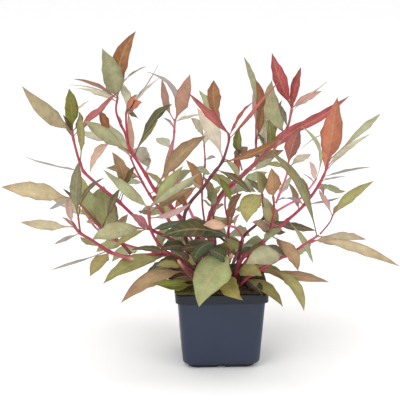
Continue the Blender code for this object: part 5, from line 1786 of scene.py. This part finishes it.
    def build_crumbs(self) -> bpy.types.Object:
        """Scatter crumbs of peat over the bed.

        Returns:
            The crumbs as one piece.
        """
        clear_choice()
        bpy.ops.mesh.primitive_ico_sphere_add(subdivisions=1, radius=1.0)
        crumb = bpy.context.object
        copies = []
        for _ in range(self.crumbs):
            spot = self.scatter_spot()
            size = self.chance.uniform(0.35, 1.3) * MM
            twin = bpy.data.objects.new("crumb", crumb.data.copy())
            bpy.context.scene.collection.objects.link(twin)
            shape = Vector((self.chance.uniform(0.7, 1.5), self.chance.uniform(0.7, 1.3),
                            self.chance.uniform(0.5, 0.9)))
            for corner in twin.data.vertices:
                rough = 1.0 + self.chance.uniform(-0.25, 0.25)
                corner.co = spot + Vector([a * b * size * rough for a, b in zip(corner.co, shape)])
            tint = self.bed_tint(spot) * self.chance.uniform(0.7, 1.7)
            tint[3] = 1.0
            paint(twin.data, np.tile(tint, (len(twin.data.vertices), 1)))
            copies.append(twin)
        bpy.data.objects.remove(crumb)
        piece = joined("soil_crumbs", copies)
        POT_PLAN.turn(piece)
        piece.data.shade_smooth()
        coat(piece, self.crumb_material)
        return piece

    def build_fibres(self) -> bpy.types.Object:
        """Lay thin fibres over the bed.

        Returns:
            The fibres as one piece.
        """
        curve = bpy.data.curves.new("fibre", "CURVE")
        curve.dimensions = "3D"
        curve.bevel_depth = MM
        curve.bevel_resolution = 0
        curve.use_fill_caps = True
        for _ in range(self.fibres):
            spot = self.scatter_spot()
            heading = self.chance.uniform(0.0, math.tau)
            length = self.chance.uniform(3.0, 9.0) * MM
            bend = self.chance.uniform(-1.2, 1.2)
            radius = self.chance.uniform(0.12, 0.3)
            spline = curve.splines.new("POLY")
            spline.points.add(self.fibre_steps)
            limit = self.half * MM * self.fibre_reach
            for index in range(self.fibre_steps + 1):
                reach = length * index / self.fibre_steps
                across = max(-limit, min(limit, spot.x + math.cos(heading) * reach))
                along = max(-limit, min(limit, spot.y + math.sin(heading) * reach))
                height = self.rise(across, along) + self.chance.uniform(0.1, 0.7) * MM
                spline.points[index].co = (across, along, height, 1.0)
                spline.points[index].radius = radius
                heading += bend / self.fibre_steps
        thing = bpy.data.objects.new("soil_fibres", curve)
        bpy.context.scene.collection.objects.link(thing)
        choose(thing)
        bpy.ops.object.convert(target="MESH")
        clean_up(thing)
        POT_PLAN.turn(thing)
        pale, peat = (np.array(linear(color)) for color in (self.pale, self.peat))
        tints = []
        for corner in thing.data.vertices:
            share = min(1.0, max(0.0, 0.5 + noise.noise(corner.co * 130.0)))
            tints.append(pale * share + peat * (1.0 - share))
        paint(thing.data, np.array(tints))
        coat(thing, self.crumb_material)
        return thing


@dataclass
class Studio:
    """A pale floor, soft light and the camera."""

    floor_radius: float = 5.0
    floor_color: Color = (253, 253, 253)
    floor_level: float = -0.0002
    floor_drop: float = 0.3
    floor_flare: float = 1.06
    sky: float = 0.97
    aim: Spot = (0.0, 0.0, 0.15)
    far: float = 20.0
    lens: float = 149.31
    sensor: float = 36.0

    def build(self) -> None:
        """Set up the floor, the light and the camera."""
        self.build_floor()
        self.build_light()
        self.build_camera()

    def build_floor(self) -> None:
        """Make a broad floor whose edge rolls down."""
        clear_choice()
        bpy.ops.mesh.primitive_circle_add(vertices=96, radius=self.floor_radius, fill_type="NGON",
                                          location=(0.0, 0.0, self.floor_level))
        floor = bpy.context.object
        floor.name = "studio_floor"
        bpy.ops.object.mode_set(mode="EDIT")
        bpy.ops.mesh.select_mode(type="EDGE")
        bpy.ops.mesh.select_all(action="SELECT")
        bpy.ops.mesh.extrude_edges_move(TRANSFORM_OT_translate={"value": (0.0, 0.0, -self.floor_drop)})
        bpy.ops.transform.resize(value=(self.floor_flare, self.floor_flare, 1.0))
        bpy.ops.object.mode_set(mode="OBJECT")
        material, wiring, shader = new_material("studio_floor")
        wiring.feed(shader, {"Base Color": linear(self.floor_color), "Roughness": 0.9,
                             "Specular IOR Level": 0.1})
        floor.data.materials.append(material)

    def build_light(self) -> None:
        """Light the scene from an even sky and three soft boxes."""
        world = bpy.data.worlds.new("studio_sky")
        world.use_nodes = True
        world.node_tree.nodes["Background"].inputs[0].default_value = (1.0, 1.0, 1.0, 1.0)
        world.node_tree.nodes["Background"].inputs[1].default_value = self.sky
        bpy.context.scene.world = world
        self.soft_box("key", (-0.9, -1.5, 1.6), 1.1, 13.0)
        self.soft_box("fill", (1.3, -1.3, 0.9), 1.2, 3.0)
        self.soft_box("top", (0.0, 0.3, 1.9), 1.4, 5.0)

    def soft_box(self, name: str, spot: Spot, size: float, power: float) -> None:
        """Add one soft box that faces the plant.

        Args:
            name: the light's name.
            spot: where it stands, in metres.
            size: its side in metres.
            power: its strength in watts.
        """
        lamp = bpy.data.lights.new(name, "AREA")
        lamp.shape = "SQUARE"
        lamp.size = size
        lamp.energy = power
        thing = bpy.data.objects.new(name, lamp)
        thing.location = spot
        aim = Vector(self.aim) - Vector(spot)
        thing.rotation_euler = aim.to_track_quat("-Z", "Y").to_euler()
        bpy.context.scene.collection.objects.link(thing)

    def build_camera(self) -> None:
        """Place the camera at the photograph's angle."""
        eye = bpy.data.cameras.new("front_view")
        eye.lens = self.lens
        eye.sensor_width = self.sensor
        eye.clip_end = self.far
        thing = bpy.data.objects.new("front_view", eye)
        thing.location = SHEET.target - SHEET.away * SHEET.distance
        thing.rotation_euler = SHEET.away.to_track_quat("-Z", "Y").to_euler()
        bpy.context.scene.collection.objects.link(thing)
        bpy.context.scene.camera = thing
        bpy.context.scene.view_settings.view_transform = "Standard"


def settle(pieces: list[bpy.types.Object], node: str) -> None:
    """Attach each piece to the root body, hide the CAD node it stands for and log its face count.

    Args:
        pieces: the finished pieces.
        node: the CAD node.
    """
    for piece in pieces:
        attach(piece, "root")
        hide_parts(node)
        LOG.info("%s: %d faces", piece.name, len(piece.data.polygons))


def main() -> None:
    """Load the frame, then build the pot, the soil, every shoot and the studio."""
    logging.basicConfig(level=logging.INFO, format="%(message)s")
    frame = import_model()
    clear_choice()
    effects = SharedEffects()
    Studio().build()
    settle(Pot(PotFinish(effects).material()).build(), "pot")
    soil = Soil(SoilFinish(effects, "peat_bed").material(),
                SoilFinish(effects, "peat_crumbs", grain_scale=1300.0).material(), random.Random(SOIL_SEED))
    settle(soil.build(), "soil")
    stem_material = StemFinish(effects).material()
    leaf_material = LeafFinish(effects).material()
    pattern = BladePattern()
    pattern.build()
    for number, plan in enumerate(PLANT):
        chance = random.Random(PLANT_SEED + number)
        shoot = Shoot(plan, frame["nodes"][plan.name], pattern, stem_material, leaf_material, chance)
        settle(shoot.build(), plan.name)
    pattern.remove()


if __name__ == "__main__":
    main()
